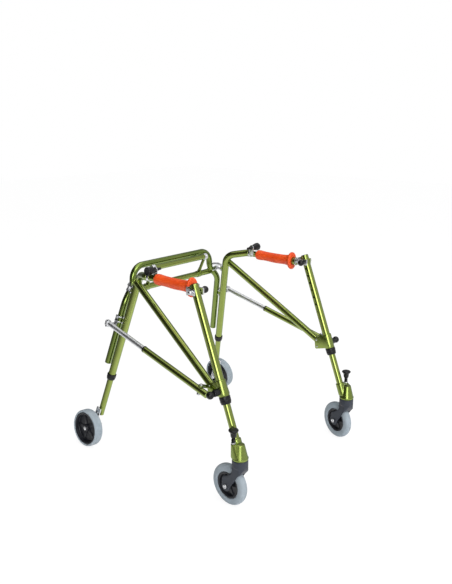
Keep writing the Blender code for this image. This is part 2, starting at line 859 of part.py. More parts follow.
# ----------------------------------------------------------------- caster
STEM = Vector((0.2840, -0.3240, 0.0))  # swivel axis, on the floor
PLUNGER = Vector((0.2975, -0.3105, 0))
TRAIL = 0.0400                         # wheel's axle behind the swivel axis
HOUSING_LOW, HOUSING_TOP = 0.1610, 0.2090
CROWN_LOW, CROWN_TOP = 0.1360, 0.1595
# (radius, z)
HOUSING = [
    (0, HOUSING_TOP - 0.002), (0.0135, HOUSING_TOP - 0.002), (0.0158, HOUSING_TOP - 0.006),
    (0.0175, HOUSING_LOW + 0.0250), (0.0225, HOUSING_LOW + 0.0120),
    (0.0245, HOUSING_LOW + 0.0080), (0.0245, HOUSING_LOW), (0, HOUSING_LOW),
]
PLUNGER_PROFILE = [
    (0, 0.2535), (0.0130, 0.2528), (0.0150, 0.2505), (0.0148, 0.2480), (0.0100, 0.2440),
    (0.0090, 0.2360), (0.0076, 0.2285), (0.0036, 0.2280), (0.0036, 0.1960), (0, 0.1960),
]
CROWN = [
    (0, 0.1714), (0.0062, 0.1714), (0.0062, CROWN_TOP), (0.0225, CROWN_TOP),
    (0.0238, CROWN_TOP - 0.0015), (0.0238, CROWN_LOW + 0.0020), (0.0215, CROWN_LOW),
    (0, CROWN_LOW),
]
# (y behind the swivel axis, z)
BLADE = [
    (-0.0150, 0.1560), (-0.0160, 0.1380), (-0.0170, 0.1240),
    (-0.0060, 0.1070), (0.0100, 0.0830), (0.0225, 0.0660),
    *circle_part((TRAIL, WHEEL_R), 0.0160, 195, 395, 8),
    (0.0500, 0.0935), (0.0400, 0.1060), (0.0268, 0.1200),
    (0.0190, 0.1320), (0.0150, 0.1420), (0.0150, 0.1560),
]
BLADE_X = 0.0177
BLADE_THICK = 0.0052
SHIELD = [
    (-0.0225, 0.1440), (-0.0220, 0.1240), (-0.0175, 0.1180), (-0.0120, 0.1240), (-0.0110, 0.1440)
]
SHIELD_WIDTH = 0.0332
# (radius, height along the axle)
FRONT_BOLT = [
    (0, 0.0250), (0.0050, 0.0246), (0.0068, 0.0225), (0.0068, 0.0207), (0.0040, 0.0207),
    (0.0040, -0.0207), (0.0068, -0.0207), (0.0068, -0.0225), (0.0050, -0.0246), (0, -0.0250),
]
FRONT_HUB = [
    (0.0048, 0.0140), (0.0105, 0.0140), (0.0125, 0.0055),
    (0.0340, 0.0040), (0.0375, 0.0105), (0.0415, 0.0110),
    (0.0415, -0.0110), (0.0375, -0.0105), (0.0340, -0.0040),
    (0.0125, -0.0055), (0.0105, -0.0140), (0.0048, -0.0140),
]
FRONT_TYRE = [
    (0.0418, 0.0118), (0.0500, 0.0131), (0.0575, 0.0118), (0.0622, 0.0072), (WHEEL_R, 0.0),
    (0.0622, -0.0072), (0.0575, -0.0118), (0.0500, -0.0131), (0.0418, -0.0118),
]


def caster_housing(side):
    """A turned housing, with a socket for the front leg and a boss for the plunger."""
    housing = side.turned("caster_housing", HOUSING, STEM, UP, 20)
    boss_ends = span(PLUNGER, UP, HOUSING_LOW + 0.006, HOUSING_TOP)
    bore_ends = front_span(FRONT_LEG_END_Z - 0.0006, 0.2400)
    join(
        housing,
        side.rod("leg_socket", front_span(0.1735, 0.2120), 0.0160, 16),
        side.rod("plunger_boss", boss_ends, 0.0085, 14),
    )
    cut(
        housing,
        side.tube("socket_bore", bore_ends, FRONT_BORE_R),
        side.rod("stem_bore", span(STEM, UP, 0.1500, 0.1722), 0.0068, 12),
        side.rod("plunger_bore", span(PLUNGER, UP, 0.1830, 0.2200), 0.0042, 10),
    )
    return finish(housing, "green")


def swivel_plunger(side):
    plunger = side.turned("swivel_lock_plunger", PLUNGER_PROFILE, PLUNGER, UP, 18)
    return finish(plunger, "black")


def caster_frame(side):
    return Matrix.Translation(side.at(STEM)) @ Matrix.Rotation(side.swivel, 4, "Z")


def caster_axle(side):
    """World centre and direction of the caster's axle."""
    frame = caster_frame(side)
    across = (frame.to_3x3() @ Vector((1, 0, 0))).normalized()
    return frame @ Vector((0, TRAIL, WHEEL_R)), across


def caster_fork(side):
    """Stem and crown, two blades, and a shield between them in front of the wheel."""
    frame = caster_frame(side)
    fork = side.turned("caster_fork", CROWN, STEM, UP, 20)
    for text, x in (("blade_near", -BLADE_X), ("blade_far", BLADE_X)):
        join(fork, side.plate(text, BLADE, BLADE_THICK, frame @ facing_x(x)))
    join(fork, side.plate("fork_shield", SHIELD, SHIELD_WIDTH, frame @ facing_x(0)))
    hole_ends = span(*caster_axle(side), -0.03, 0.03)
    cut(fork, rod(side.name("fork_axle_hole"), hole_ends, 0.0046, 10))
    return finish(fork, "slate")


def on_caster_axle(side, text, profile, steps, colour):
    return finish(turned(side.name(text), profile, *caster_axle(side), steps), colour)


# -------------------------------------------------------------- rear wheel
CAMBER = math.radians(6.0)
REAR_WHEEL = Vector((0.3385, 0.3220, 0.0648))
AXLE_OUT = Vector((math.cos(CAMBER), 0, math.sin(CAMBER)))
STRAP_AT = REAR_WHEEL - AXLE_OUT * 0.0245
TANG_AT = STRAP_AT - AXLE_OUT * 0.0165
AXLE_PLATE_THICK = 0.0040
# (radius, height outboard along the axle)
REAR_HUB = [
    (0.0048, 0.0100), (0.0110, 0.0100), (0.0130, 0.0030),
    (0.0470, 0.0010), (0.0520, 0.0135), (0.0560, 0.0140),
    (0.0560, -0.0140), (0.0510, -0.0135), (0.0460, -0.0050),
    (0.0130, -0.0070), (0.0110, -0.0160), (0.0048, -0.0160),
]
REAR_TYRE = [
    (0.0563, 0.0146), (0.0595, 0.0156), (0.0625, 0.0132), (WHEEL_R, 0.0070),
    (WHEEL_R, -0.0070), (0.0625, -0.0132), (0.0595, -0.0156), (0.0563, -0.0146),
]


def square_to_axle(vector):
    return vector - AXLE_OUT * vector.dot(AXLE_OUT)


def rear_axle_bracket(side):
    """A strap and a tang from the axle up to the leg, with the axle and its fittings."""
    toward = square_to_axle(rear_at(0.1200) - STRAP_AT)
    reach = toward.length
    strap = circle_part((0, 0), 0.0125, 90, 270, 8) + [
        (reach * 0.55, -0.0105), (reach + 0.0150, -0.0100),
        (reach + 0.0150, 0.0100), (reach * 0.55, 0.0105),
    ]
    rise = square_to_axle(rear_at(0.0990) - TANG_AT)
    tang = circle_part((0, 0), 0.0090, 90, 270, 8)
    tang += [(rise.length, -0.0075), (rise.length, 0.0075)]
    strap_frame = side.frame(STRAP_AT, AXLE_OUT, toward)
    tang_frame = side.frame(TANG_AT, AXLE_OUT, rise)
    axle_ends = [STRAP_AT - AXLE_OUT * 0.0320, REAR_WHEEL + AXLE_OUT * 0.0120]

    def fitting(text, point, low, high, radius, sides):
        return side.rod("rear_axle_" + text, span(point, AXLE_OUT, low, high), radius, sides)

    bracket = side.plate("rear_axle_bracket", strap, AXLE_PLATE_THICK, strap_frame)
    join(
        bracket,
        side.rod("rear_axle", axle_ends, 0.0040, 12),
        fitting("spacer", STRAP_AT, -0.0155, -0.0010, 0.0062, 12),
        side.plate("rear_axle_tang", tang, AXLE_PLATE_THICK, tang_frame),
        fitting("nut", STRAP_AT, -0.0250, -0.0175, 0.0070, 6),
        fitting("washer", STRAP_AT, 0.0010, 0.0072, 0.0070, 12),
        fitting("cap", REAR_WHEEL, 0.0104, 0.0135, 0.0068, 12),
    )
    cut(bracket, side.tube("bracket_leg_clear", rear_span(0.0700, 0.2000), REAR_INNER_R + 0.0008))
    return finish(bracket, "silver")


def on_rear_axle(side, text, profile, steps, colour):
    return finish(side.turned(text, profile, REAR_WHEEL, AXLE_OUT, steps), colour)


# ------------------------------------------------------ telescoping strut
STRUT_BORE_R = 0.0090
ROD_R = 0.0083            # inner rod
ROD_ENDS = [STRUT_REAR + STRUT_DIR * 0.0090, STRUT_SPLIT + STRUT_DIR * 0.1550]


def strut_outer(side):
    outer = side.tube("strut_outer_tube", [STRUT_SPLIT, STRUT_FRONT], STRUT_R)
    bore_ends = [STRUT_SPLIT - STRUT_DIR * 0.01, STRUT_PIVOT - STRUT_DIR * 0.030]
    cut(
        outer,
        side.tube("strut_bore", bore_ends, STRUT_BORE_R),
        side.rod("strut_pin_hole", span(STRUT_PIVOT, LEG_UP, -0.03, 0.03), 0.0037, 10),
    )
    return finish(outer, "green")


def strut_inner(side):
    """The rod, with the rear eye and its bolt."""
    inner = side.tube("strut_inner_rod", ROD_ENDS, ROD_R)
    join(
        inner,
        side.rod("strut_eye", span(STRUT_REAR, LEG_UP, -0.0074, 0.0070), 0.0098, 14),
        side.rod("strut_eye_bolt", span(STRUT_REAR, LEG_UP, -0.0030, 0.0098), 0.0060, 8),
    )
    return finish(inner, "silver")


# --------------------------------------------------------------- assembly
def side_frame(side):
    """One side's pieces; every moving group hangs from the axis it moves on."""

    def moving(text, point, parent, *carried):
        return axis(side.name(text), side.at(point), parent, *carried)

    for which, z in HINGES.items():
        hinge_bracket(side, which, z)

    fixed = (
        front_upright, gusset, diagonal_brace, rear_leg, front_bushing,
        rear_bushing, handle_bar, handle_grip, handle_clamp, leg_lock_barrel,
    )
    hinge = moving(
        "side_frame_hinge", hinge_pin_at(0.4800), None, *[make(side) for make in fixed]
    )
    moving("handle_knob_pull", HANDLE_KNOB_AT, hinge, handle_lock_knob(side))
    moving("leg_knob_pull", Vector((0.3100, *LOCK_YZ)), hinge, leg_lock_knob(side))
    moving("corner_knob_turn", KNOB_FACE, hinge, corner_knob(side))

    front_slide = moving(
        "front_leg_slide", front_at(0.3530), hinge, front_leg(side), caster_housing(side)
    )
    moving("plunger_slide", PLUNGER + UP * 0.2100, front_slide, swivel_plunger(side))
    swivel = moving(
        "caster_swivel",
        STEM + UP * 0.1600,
        front_slide,
        caster_fork(side),
        on_caster_axle(side, "front_axle_bolt", FRONT_BOLT, 10, "silver"),
    )
    axle_centre, _ = caster_axle(side)
    axis(
        side.name("front_wheel_spin"),
        axle_centre,
        swivel,
        on_caster_axle(side, "front_wheel_hub", FRONT_HUB, 24, "black"),
        on_caster_axle(side, "front_wheel_tyre", FRONT_TYRE, 32, "tyre"),
    )

    rear_slide = moving(
        "rear_leg_slide", rear_at(0.2500), hinge, rear_leg_inner(side), rear_axle_bracket(side)
    )
    moving(
        "rear_wheel_spin",
        REAR_WHEEL,
        rear_slide,
        on_rear_axle(side, "rear_wheel_hub", REAR_HUB, 28, "black"),
        on_rear_axle(side, "rear_wheel_tyre", REAR_TYRE, 36, "tyre"),
    )

    strut_swing = moving("strut_swing", STRUT_PIVOT, hinge, strut_outer(side))
    moving("strut_rod_slide", STRUT_SPLIT, strut_swing, strut_inner(side))


rear_bow()
lower_crossbar()
back_bar()
for each_side in SIDES:
    side_frame(each_side)

# the origin becomes the middle of the floor box; children follow their axes
for obj in bpy.data.objects:
    if obj.parent is None:
        obj.location.y -= CENTRE_Y
bpy.context.view_layer.update()
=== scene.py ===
# A folding wheeled walker: two side frames of green tube joined at the back by a bow, swivel
# casters on the front legs and larger wheels on the rear legs.
# It stands on z = 0 with its front toward -Y, its left toward +X and its right toward -X.
# Lengths are in metres. Side parts are laid out for +X and mirrored by the Side class.
import math

import bmesh
import bpy
from mathutils import Matrix, Vector


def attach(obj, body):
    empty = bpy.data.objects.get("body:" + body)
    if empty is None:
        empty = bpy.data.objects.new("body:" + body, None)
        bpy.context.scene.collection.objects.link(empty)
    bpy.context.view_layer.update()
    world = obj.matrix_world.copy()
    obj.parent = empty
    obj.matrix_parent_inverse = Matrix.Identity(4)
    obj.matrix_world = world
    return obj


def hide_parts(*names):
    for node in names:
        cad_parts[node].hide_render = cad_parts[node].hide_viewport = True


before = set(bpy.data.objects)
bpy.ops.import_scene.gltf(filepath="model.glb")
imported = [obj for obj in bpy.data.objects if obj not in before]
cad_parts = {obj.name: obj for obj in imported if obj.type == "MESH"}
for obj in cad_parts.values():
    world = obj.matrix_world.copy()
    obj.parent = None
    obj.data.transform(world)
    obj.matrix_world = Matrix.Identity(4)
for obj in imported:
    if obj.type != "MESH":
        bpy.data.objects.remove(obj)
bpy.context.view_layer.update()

# =====================================================================
# dimensions
# =====================================================================
# tube radii
LEG_R = 0.0127
BRACE_R = 0.0118
FRONT_INNER_R = 0.0110
REAR_INNER_R = 0.0105
BOW_R = 0.0110
CROSSBAR_R = 0.0105
BACK_BAR_R = 0.0095
HANDLE_R = 0.0105
STRUT_R = 0.0103
ROD_R = 0.0083

# front leg: its axis runs from FRONT_TOP along FRONT_DIR
FRONT_TOP = Vector((0.2726, -0.1360, 0.6430))
FRONT_LOW = Vector((0.2745, -0.2630, 0.3090))
FRONT_DIR = (FRONT_LOW - FRONT_TOP).normalized()
UPRIGHT_END_Z = 0.3310
FRONT_INNER_TOP_Z = 0.4600
LEG_END_Z = 0.1810
SLEEVE_Z = (UPRIGHT_END_Z, 0.3760)
FRONT_BUSHING_Z = (FRONT_LOW.z, 0.3305)
FIRST_HOLE = 0.0230
HOLE_PITCH = 0.0254
HOLE_R = 0.0036
HOLE_COUNT = 9

# rear leg: its axis runs through REAR_REF along REAR_DIR
REAR_REF = Vector((0.2250, 0.1920, 0.5240))
REAR_DIR = Vector((0.0700, 0.1120, -0.4180)).normalized()
REARWARD = (Vector((0, 1, 0)) - REAR_DIR * REAR_DIR.y).normalized()
REAR_TUBE_END_Z = 0.2600
REAR_BUSHING_Z = (0.2400, 0.2597)
REAR_INNER_TOP_Z = 0.3700
REAR_INNER_END_Z = 0.1060
HINGES = {"upper": 0.5510, "lower": 0.4450}  # heights on the rear leg
HINGE_BACK = 0.0178
BOW_BACK = 0.0340

# bars across the back
CROSS = Vector((0.0, 0.2350, 0.5424))
CROSS_HALF = 0.1935
BACK_BAR = Vector((0.0, 0.2000, 0.6130))
BACK_BAR_HALF = 0.1262

BRACE_TOP = Vector((0.2212, 0.1720, 0.5838))
BRACE_END = Vector((0.2744, -0.2168, 0.3405))

HANDLE_X = 0.2465
HANDLE_Z = 0.6215
STUB_END_Y = 0.0885
HANDLE_FRONT_Y = -0.1195
GRIP_REAR_Y = 0.0500

GUSSET_X = 0.2735
INNER_CHEEK_X = GUSSET_X - 0.0150
OUTER_CHEEK_X = GUSSET_X + 0.01435

# casters and wheels
WHEEL_R = 0.0635
STEM = Vector((0.2840, -0.3240, 0.0))
PLUNGER = Vector((0.2975, -0.3105, 0))
TRAIL = 0.0400
HOUSING_Z = (0.1610, 0.2090)
CROWN_Z = (0.1360, 0.1595)
CAMBER = math.radians(6.0)
REAR_WHEEL = Vector((0.3385, 0.3220, 0.0648))

# strut from the rear eye to the front end
STRUT_REAR = Vector((0.2950, 0.2390, 0.4520))
STRUT_FRONT = Vector((0.3119, -0.2220, 0.3360))
STRUT_DIR = (STRUT_FRONT - STRUT_REAR).normalized()
STRUT_LENGTH = (STRUT_FRONT - STRUT_REAR).length
STRUT_PIN = STRUT_REAR + STRUT_DIR * (STRUT_LENGTH * 0.935)
STRUT_SPLIT = STRUT_REAR + STRUT_DIR * (STRUT_LENGTH * 0.405)

# Shapes are laid out from the middle of the frame. The row's origin is the
# middle of the floor box, this far behind it.
CENTRE_Y = 0.017648
TO_ROW = Matrix.Translation((0, -CENTRE_Y, 0))
FROM_ROW = Matrix.Translation((0, CENTRE_Y, 0))

UP = Vector((0, 0, 1))


# =====================================================================
# shader helpers
# =====================================================================
class Nodes:
    """Builds nodes in one tree."""

    def __init__(self, tree):
        self.tree = tree

    def feed(self, socket, value):
        """Link an output socket, or set a plain value; colours are RGB."""
        if isinstance(value, bpy.types.NodeSocket):
            self.tree.links.new(value, socket)
        elif socket.type == "RGBA":
            socket.default_value = (*value, 1)
        else:
            socket.default_value = value

    def add(self, kind, sockets=None, **settings):
        node = self.tree.nodes.new(kind)
        for key, value in settings.items():
            setattr(node, key, value)
        for key, value in (sockets or {}).items():
            self.feed(node.inputs[key], value)
        return node

    def math(self, operation, first, second):
        node = self.add("ShaderNodeMath", {0: first, 1: second}, operation=operation)
        return node.outputs[0]

    def spread(self, value, to, over=(0.3, 0.7), **settings):
        """The range `over` mapped onto the range `to`."""
        sockets = {
            "Value": value, "From Min": over[0], "From Max": over[1],
            "To Min": to[0], "To Max": to[1],
        }
        return self.add("ShaderNodeMapRange", sockets, **settings).outputs["Result"]


class Material(Nodes):
    """A material around its Principled BSDF."""

    def __init__(self, name):
        self.material = bpy.data.materials.new(name)
        self.material.use_nodes = True
        super().__init__(self.material.node_tree)
        self.bsdf = self.tree.nodes["Principled BSDF"]

    def coords(self, scale=(1, 1, 1), uv=False):
        source = self.add("ShaderNodeTexCoord").outputs["UV" if uv else "Object"]
        sockets = {"Scale": scale, "Vector": source}
        return self.add("ShaderNodeMapping", sockets).outputs["Vector"]

    def noise(self, vector, scale, detail=4, roughness=0.6):
        sockets = {"Scale": scale, "Detail": detail, "Roughness": roughness, "Vector": vector}
        return self.add("ShaderNodeTexNoise", sockets).outputs["Fac"]

    def ramp(self, value, stops):
        """Stops are (position, colour)."""
        node = self.add("ShaderNodeValToRGB", {"Fac": value})
        elements = node.color_ramp.elements
        while len(elements) < len(stops):
            elements.new(0.5)
        for element, (position, colour) in zip(elements, stops):
            element.position = position
            element.color = (*colour, 1)
        return node.outputs["Color"]

    def mix(self, mask, base, over):
        sockets = {"Factor": mask, "A": base, "B": over}
        node = self.add("ShaderNodeMix", sockets, data_type="RGBA")
        return next(out for out in node.outputs if out.type == "RGBA")

    def bump(self, height, strength, distance, normal=None):
        sockets = {"Strength": strength, "Distance": distance, "Height": height}
        if normal is not None:
            sockets["Normal"] = normal
        return self.add("ShaderNodeBump", sockets).outputs["Normal"]

    def edge_wear(self, over):
        """1 on sharp convex edges, 0 elsewhere."""
        geometry = self.add("ShaderNodeNewGeometry")
        return self.spread(geometry.outputs["Pointiness"], to=(0.0, 1.0), over=over)

    def finish(self, **sockets):
        for key, value in sockets.items():
            self.feed(self.bsdf.inputs[key.replace("_", " ")], value)
        return self.material


def scaled(colour, factor):
    return tuple(channel * factor for channel in colour)


# =====================================================================
# materials
# =====================================================================
def anodised(name, dark, mid, light, rough=0.13, uv=True):
    """Bright-dipped anodised tube: tinted metal, faint drawing lines along the tube, painted
    shade toward its edges.
    """
    mat = Material(name)
    along = mat.coords((150, 2.0, 1), uv=True) if uv else mat.coords((160, 160, 10))
    lines = mat.noise(along, scale=1.0, detail=1, roughness=0.5)
    blotch = mat.noise(mat.coords(), scale=9.0)
    fine = mat.noise(mat.coords(), scale=260.0, detail=3)
    colour = mat.ramp(blotch, [(0.25, dark), (0.5, mid), (0.75, light)])
    colour = mat.mix(mat.spread(lines, to=(0.0, 0.18), over=(0.45, 0.75)), colour, light)
    # painted shade: the colour goes deep green where the tube's edges are seen at a glancing
    # angle, standing in for the dark reflections there
    facing = mat.add("ShaderNodeLayerWeight", {"Blend": 0.42}).outputs["Facing"]
    deep = (dark[0] * 0.22, dark[1] * 0.52, dark[2] * 0.25)
    colour = mat.mix(mat.spread(facing, to=(0.0, 0.80), over=(0.30, 0.95)), colour, deep)
    # the dye thins on sharp edges, so a little bare metal shows
    bare_metal = (0.62, 0.66, 0.45)
    patches = mat.spread(fine, to=(0.0, 0.8), over=(0.45, 0.6))
    edge = mat.math("MULTIPLY", mat.edge_wear(over=(0.62, 0.74)), patches)
    colour = mat.mix(edge, colour, bare_metal)
    roughness = mat.math(
        "ADD", mat.spread(lines, to=(rough * 0.75, rough * 1.25)),
        mat.spread(fine, to=(-0.01, 0.02)),
    )
    normal = mat.bump(lines, strength=0.006, distance=0.0003)
    dents = mat.noise(mat.coords(), scale=30.0, detail=1, roughness=0.55)
    normal = mat.bump(dents, strength=0.005, distance=0.001, normal=normal)
    return mat.finish(
        Base_Color=colour, Metallic=0.93, Roughness=roughness, Normal=normal,
        Coat_Weight=0.45, Coat_Roughness=0.08, Coat_IOR=1.45,
    )


def bare_alloy(name, tone, rough, uv=True):
    """Polished metal with turning or drawing lines and a little handling haze."""
    mat = Material(name)
    along = mat.coords((500, 2.0, 1), uv=True) if uv else mat.coords((400, 400, 400))
    lines = mat.noise(along, scale=1.0, detail=3)
    haze = mat.noise(mat.coords(), scale=35.0)
    colour = mat.ramp(haze, [(0.3, scaled(tone, 0.86)), (0.7, tone)])
    roughness = mat.math(
        "ADD", mat.spread(lines, to=(rough * 0.6, rough * 1.3)),
        mat.spread(haze, to=(0.0, 0.07)),
    )
    normal = mat.bump(lines, strength=0.014, distance=0.0003)
    return mat.finish(Base_Color=colour, Metallic=1.0, Roughness=roughness, Normal=normal)


def moulding(name, colour, worn, rough, grain=900.0, depth=0.12):
    """Moulded plastic: a fine spark-eroded grain, scuffed edges, faint flow marks."""
    mat = Material(name)
    grains = mat.noise(mat.coords(), scale=grain, detail=2, roughness=0.5)
    flow = mat.noise(mat.coords((1, 1, 2.2)), scale=22.0)
    scuff = mat.noise(mat.coords((3, 1, 1)), scale=170.0, roughness=0.7)
    base = mat.ramp(flow, [(0.3, scaled(colour, 0.8)), (0.7, scaled(colour, 1.25))])
    patches = mat.spread(scuff, to=(0.0, 0.75), over=(0.42, 0.62))
    edge = mat.math("MULTIPLY", mat.edge_wear(over=(0.54, 0.64)), patches)
    base = mat.mix(edge, base, worn)
    roughness = mat.math(
        "ADD", mat.spread(flow, to=(rough * 0.85, rough * 1.15)),
        mat.spread(scuff, to=(-0.04, 0.06)),
    )
    normal = mat.bump(grains, strength=depth, distance=0.0003)
    normal = mat.bump(scuff, strength=0.03, distance=0.0004, normal=normal)
    return mat.finish(
        Base_Color=base, Roughness=roughness, Normal=normal, Specular_IOR_Level=0.34,
    )


def rubber(name, colour, dusty, rough):
    """Solid tyre rubber: slightly mottled, dusty, with a fine rough skin."""
    mat = Material(name)
    mottled = mat.noise(mat.coords(), scale=45.0, detail=5, roughness=0.65)
    fine = mat.noise(mat.coords(), scale=700.0, detail=3)
    dust = mat.noise(mat.coords(), scale=12.0)
    base = mat.ramp(mottled, [(0.3, scaled(colour, 0.9)), (0.7, scaled(colour, 1.08))])
    base = mat.mix(mat.spread(dust, to=(0.0, 0.28), over=(0.45, 0.7)), base, dusty)
    pits = mat.spread(fine, to=(0.0, 0.12), over=(0.5, 0.7))
    base = mat.mix(pits, base, scaled(colour, 0.6))
    normal = mat.bump(fine, strength=0.16, distance=0.0004)
    normal = mat.bump(mottled, strength=0.05, distance=0.001, normal=normal)
    return mat.finish(
        Base_Color=base, Roughness=mat.spread(mottled, to=(rough * 0.9, rough * 1.1)),
        Normal=normal, Specular_IOR_Level=0.35, Sheen_Weight=0.08, Sheen_Roughness=0.5,
    )


def vinyl(name, colour, deep, rough):
    """Soft dipped grip: pebbled skin, a little light passing through."""
    mat = Material(name)
    cells = mat.add(
        "ShaderNodeTexVoronoi", {"Scale": 620.0, "Vector": mat.coords()}, feature="SMOOTH_F1",
    ).outputs["Distance"]
    wide = mat.noise(mat.coords(), scale=28.0)
    base = mat.ramp(wide, [(0.3, deep), (0.72, colour)])
    base = mat.mix(mat.spread(cells, to=(0.16, 0.0), over=(0.1, 0.5)), base, deep)
    normal = mat.bump(cells, strength=0.22, distance=0.0005)
    normal = mat.bump(wide, strength=0.04, distance=0.002, normal=normal)
    return mat.finish(
        Base_Color=base, Roughness=mat.spread(wide, to=(rough * 0.88, rough * 1.12)),
        Normal=normal, Subsurface_Weight=0.12, Subsurface_Radius=(0.006, 0.002, 0.001),
        Subsurface_Scale=0.4, Specular_IOR_Level=0.5,
    )


GREEN = anodised(
    "lime_anodised",
    dark=(0.215, 0.275, 0.050), mid=(0.245, 0.305, 0.064), light=(0.285, 0.345, 0.085),
)
GREEN_CAST = anodised(
    "lime_anodised_fittings", rough=0.24, uv=False,
    dark=(0.190, 0.255, 0.045), mid=(0.220, 0.285, 0.055), light=(0.255, 0.320, 0.075),
)
# painted shade: a darker copy of the lime anodised, used for the bow tube
GREEN_PAINTED_SHADE = anodised(
    "lime_anodised_painted_shade", rough=0.2,
    dark=(0.135, 0.200, 0.032), mid=(0.165, 0.230, 0.040), light=(0.200, 0.265, 0.058),
)
SILVER = bare_alloy("polished_alloy", tone=(0.60, 0.61, 0.64), rough=0.24)
SILVER_FIT = bare_alloy("bright_fittings", tone=(0.74, 0.75, 0.77), rough=0.26, uv=False)
STEEL = bare_alloy("zinc_fasteners", tone=(0.66, 0.67, 0.69), rough=0.3, uv=False)
ROD = bare_alloy("drawn_rod", tone=(0.80, 0.81, 0.83), rough=0.44)
BLACK = moulding(
    "black_moulding", colour=(0.0040, 0.0042, 0.0050), worn=(0.022, 0.022, 0.024), rough=0.36,
)
HUB = moulding(
    "hub_moulding", colour=(0.0110, 0.0122, 0.0165), worn=(0.040, 0.042, 0.050), rough=0.36,
    grain=700.0,
)
SLATE = moulding(
    "slate_moulding", colour=(0.034, 0.040, 0.054), worn=(0.080, 0.088, 0.104), rough=0.46,
    grain=1100.0, depth=0.2,
)
TYRE = rubber(
    "grey_tyre_rubber", colour=(0.335, 0.395, 0.445), dusty=(0.47, 0.50, 0.52), rough=0.62,
)
ORANGE = vinyl(
    "orange_vinyl", colour=(0.93, 0.108, 0.012), deep=(0.72, 0.058, 0.007), rough=0.46,
)
WELD = anodised(
    "weld_bead", rough=0.32, uv=False,
    dark=(0.19, 0.26, 0.035), mid=(0.24, 0.31, 0.05), light=(0.30, 0.37, 0.08),
)


# =====================================================================
# places
# =====================================================================
def mirror(sign, point):
    return Vector((sign * point[0], point[1], point[2]))


def front_at(z):
    """The point of the front leg's axis at height z."""
    return FRONT_TOP + FRONT_DIR * ((z - FRONT_TOP.z) / FRONT_DIR.z)


def rear_at(z):
    """The point of the rear leg's axis at height z."""
    return REAR_REF + REAR_DIR * ((z - REAR_REF.z) / REAR_DIR.z)


def axes(origin, along, across):
    """A frame whose z runs along and whose x leans toward across."""
    z = Vector(along).normalized()
    y = z.cross(Vector(across)).normalized()
    x = y.cross(z)
    place = Matrix((x, y, z)).transposed().to_4x4()
    place.translation = origin
    return place


def axis(origin, along):
    """A frame whose z runs along, turned any way about it."""
    direction = Vector(along).normalized()
    return axes(origin, direction, (1, 0, 0) if abs(direction.x) < 0.9 else (0, 1, 0))


def side_plane(x=0.0):
    """Lays an outline's x, y onto y, z, with its thickness along x."""
    return Matrix(((0, 0, 1, x), (1, 0, 0, 0), (0, 1, 0, 0), (0, 0, 0, 1)))


# =====================================================================
# paths, outlines and profiles
# =====================================================================
def straight(start, end, steps=8):
    return [start + (end - start) * k / steps for k in range(steps + 1)]


def arc(corner, before, after, radius, count=18):
    """Points of the fillet arc inside a corner."""
    corner = Vector(corner)
    back = (Vector(before) - corner).normalized()
    ahead = (Vector(after) - corner).normalized()
    angle = back.angle(ahead)
    reach = radius / math.tan(angle / 2)
    centre = corner + (back + ahead).normalized() * (radius / math.sin(angle / 2))
    start = corner + back * reach - centre
    end = corner + ahead * reach - centre
    turn = start.angle(end)
    points = []
    for i in range(count + 1):
        t = i / count
        spoke = start * math.sin((1 - t) * turn) + end * math.sin(t * turn)
        points.append(centre + spoke / math.sin(turn))
    return points


def rounded(points, radii):
    """A path with an arc of the given radius at each inner corner."""
    path = [Vector(points[0])]
    for before, here, after, radius in zip(points, points[1:], points[2:], radii):
        path += arc(here, before, after, radius)
    path.append(Vector(points[-1]))
    return path


def disc_points(centre, radius, start, end, count):
    """Points on a circle from the start to the end angle, in degrees."""
    angles = [math.radians(start + (end - start) * i / count) for i in range(count + 1)]
    return [
        (centre[0] + radius * math.cos(angle), centre[1] + radius * math.sin(angle))
        for angle in angles
    ]


def hexagon(radius):
    return disc_points((0, 0), radius, 0, 300, 5)


def band(inner, outer, start, end):
    """The profile of a plain ring, or of a solid cylinder when inner is 0."""
    return [(inner, start), (outer, start), (outer, end), (inner, end)]


def mirrored(half):
    """A profile carried on through its own mirror image in height."""
    return half + [(radius, -height) for radius, height in reversed(half)]


def soften(profile, radius, steps=3):
    """The inner corners of a profile rounded off."""
    points = [Vector(point) for point in profile]
    out = [tuple(points[0])]
    for before, here, after in zip(points, points[1:], points[2:]):
        back, ahead = before - here, after - here
        if back.length < 1e-7 or ahead.length < 1e-7:
            continue
        if back.angle(ahead) > math.radians(168):
            out.append(tuple(here))
            continue
        reach = min(radius, back.length * 0.45, ahead.length * 0.45)
        start, end = here + back.normalized() * reach, here + ahead.normalized() * reach
        for k in range(steps + 1):
            t = k / steps
            out.append(tuple(start.lerp(here, t).lerp(here.lerp(end, t), t)))
    out.append(tuple(points[-1]))
    return out


def flutes(count, depth, min_radius, min_height=0.0):
    """Shallow grooves round the parts beyond a radius and a height."""
    def scale(angle, radius, height):
        if radius > min_radius and height > min_height:
            return 1.0 - depth * (0.5 + 0.5 * math.cos(angle * count))
        return 1.0
    return scale


# =====================================================================
# meshes
# =====================================================================
def outward(shape):
    shape.normal_update()
    bmesh.ops.recalc_face_normals(shape, faces=shape.faces)
    if shape.calc_volume(signed=True) < 0:
        bmesh.ops.reverse_faces(shape, faces=shape.faces)


def shade(mesh, sharp_angle):
    mesh.shade_smooth()
    if sharp_angle:
        mesh.set_sharp_from_angle(angle=math.radians(sharp_angle))


def mesh_object(name, shape, sharp_angle=38):
    mesh = bpy.data.meshes.new(name)
    shape.to_mesh(mesh)
    shape.free()
    shade(mesh, sharp_angle)
    obj = bpy.data.objects.new(name, mesh)
    bpy.context.scene.collection.objects.link(obj)
    return obj


def modify(obj, kind, **settings):
    modifier = obj.modifiers.new(kind.lower(), kind)
    for key, value in settings.items():
        setattr(modifier, key, value)


def baked(obj, sharp_angle=38):
    """The object with its modifiers applied to its mesh."""
    graph = bpy.context.evaluated_depsgraph_get()
    mesh = bpy.data.meshes.new_from_object(obj.evaluated_get(graph))
    old = obj.data
    obj.modifiers.clear()
    obj.data = mesh
    bpy.data.meshes.remove(old)
    if sharp_angle:
        shade(mesh, sharp_angle)
    return obj


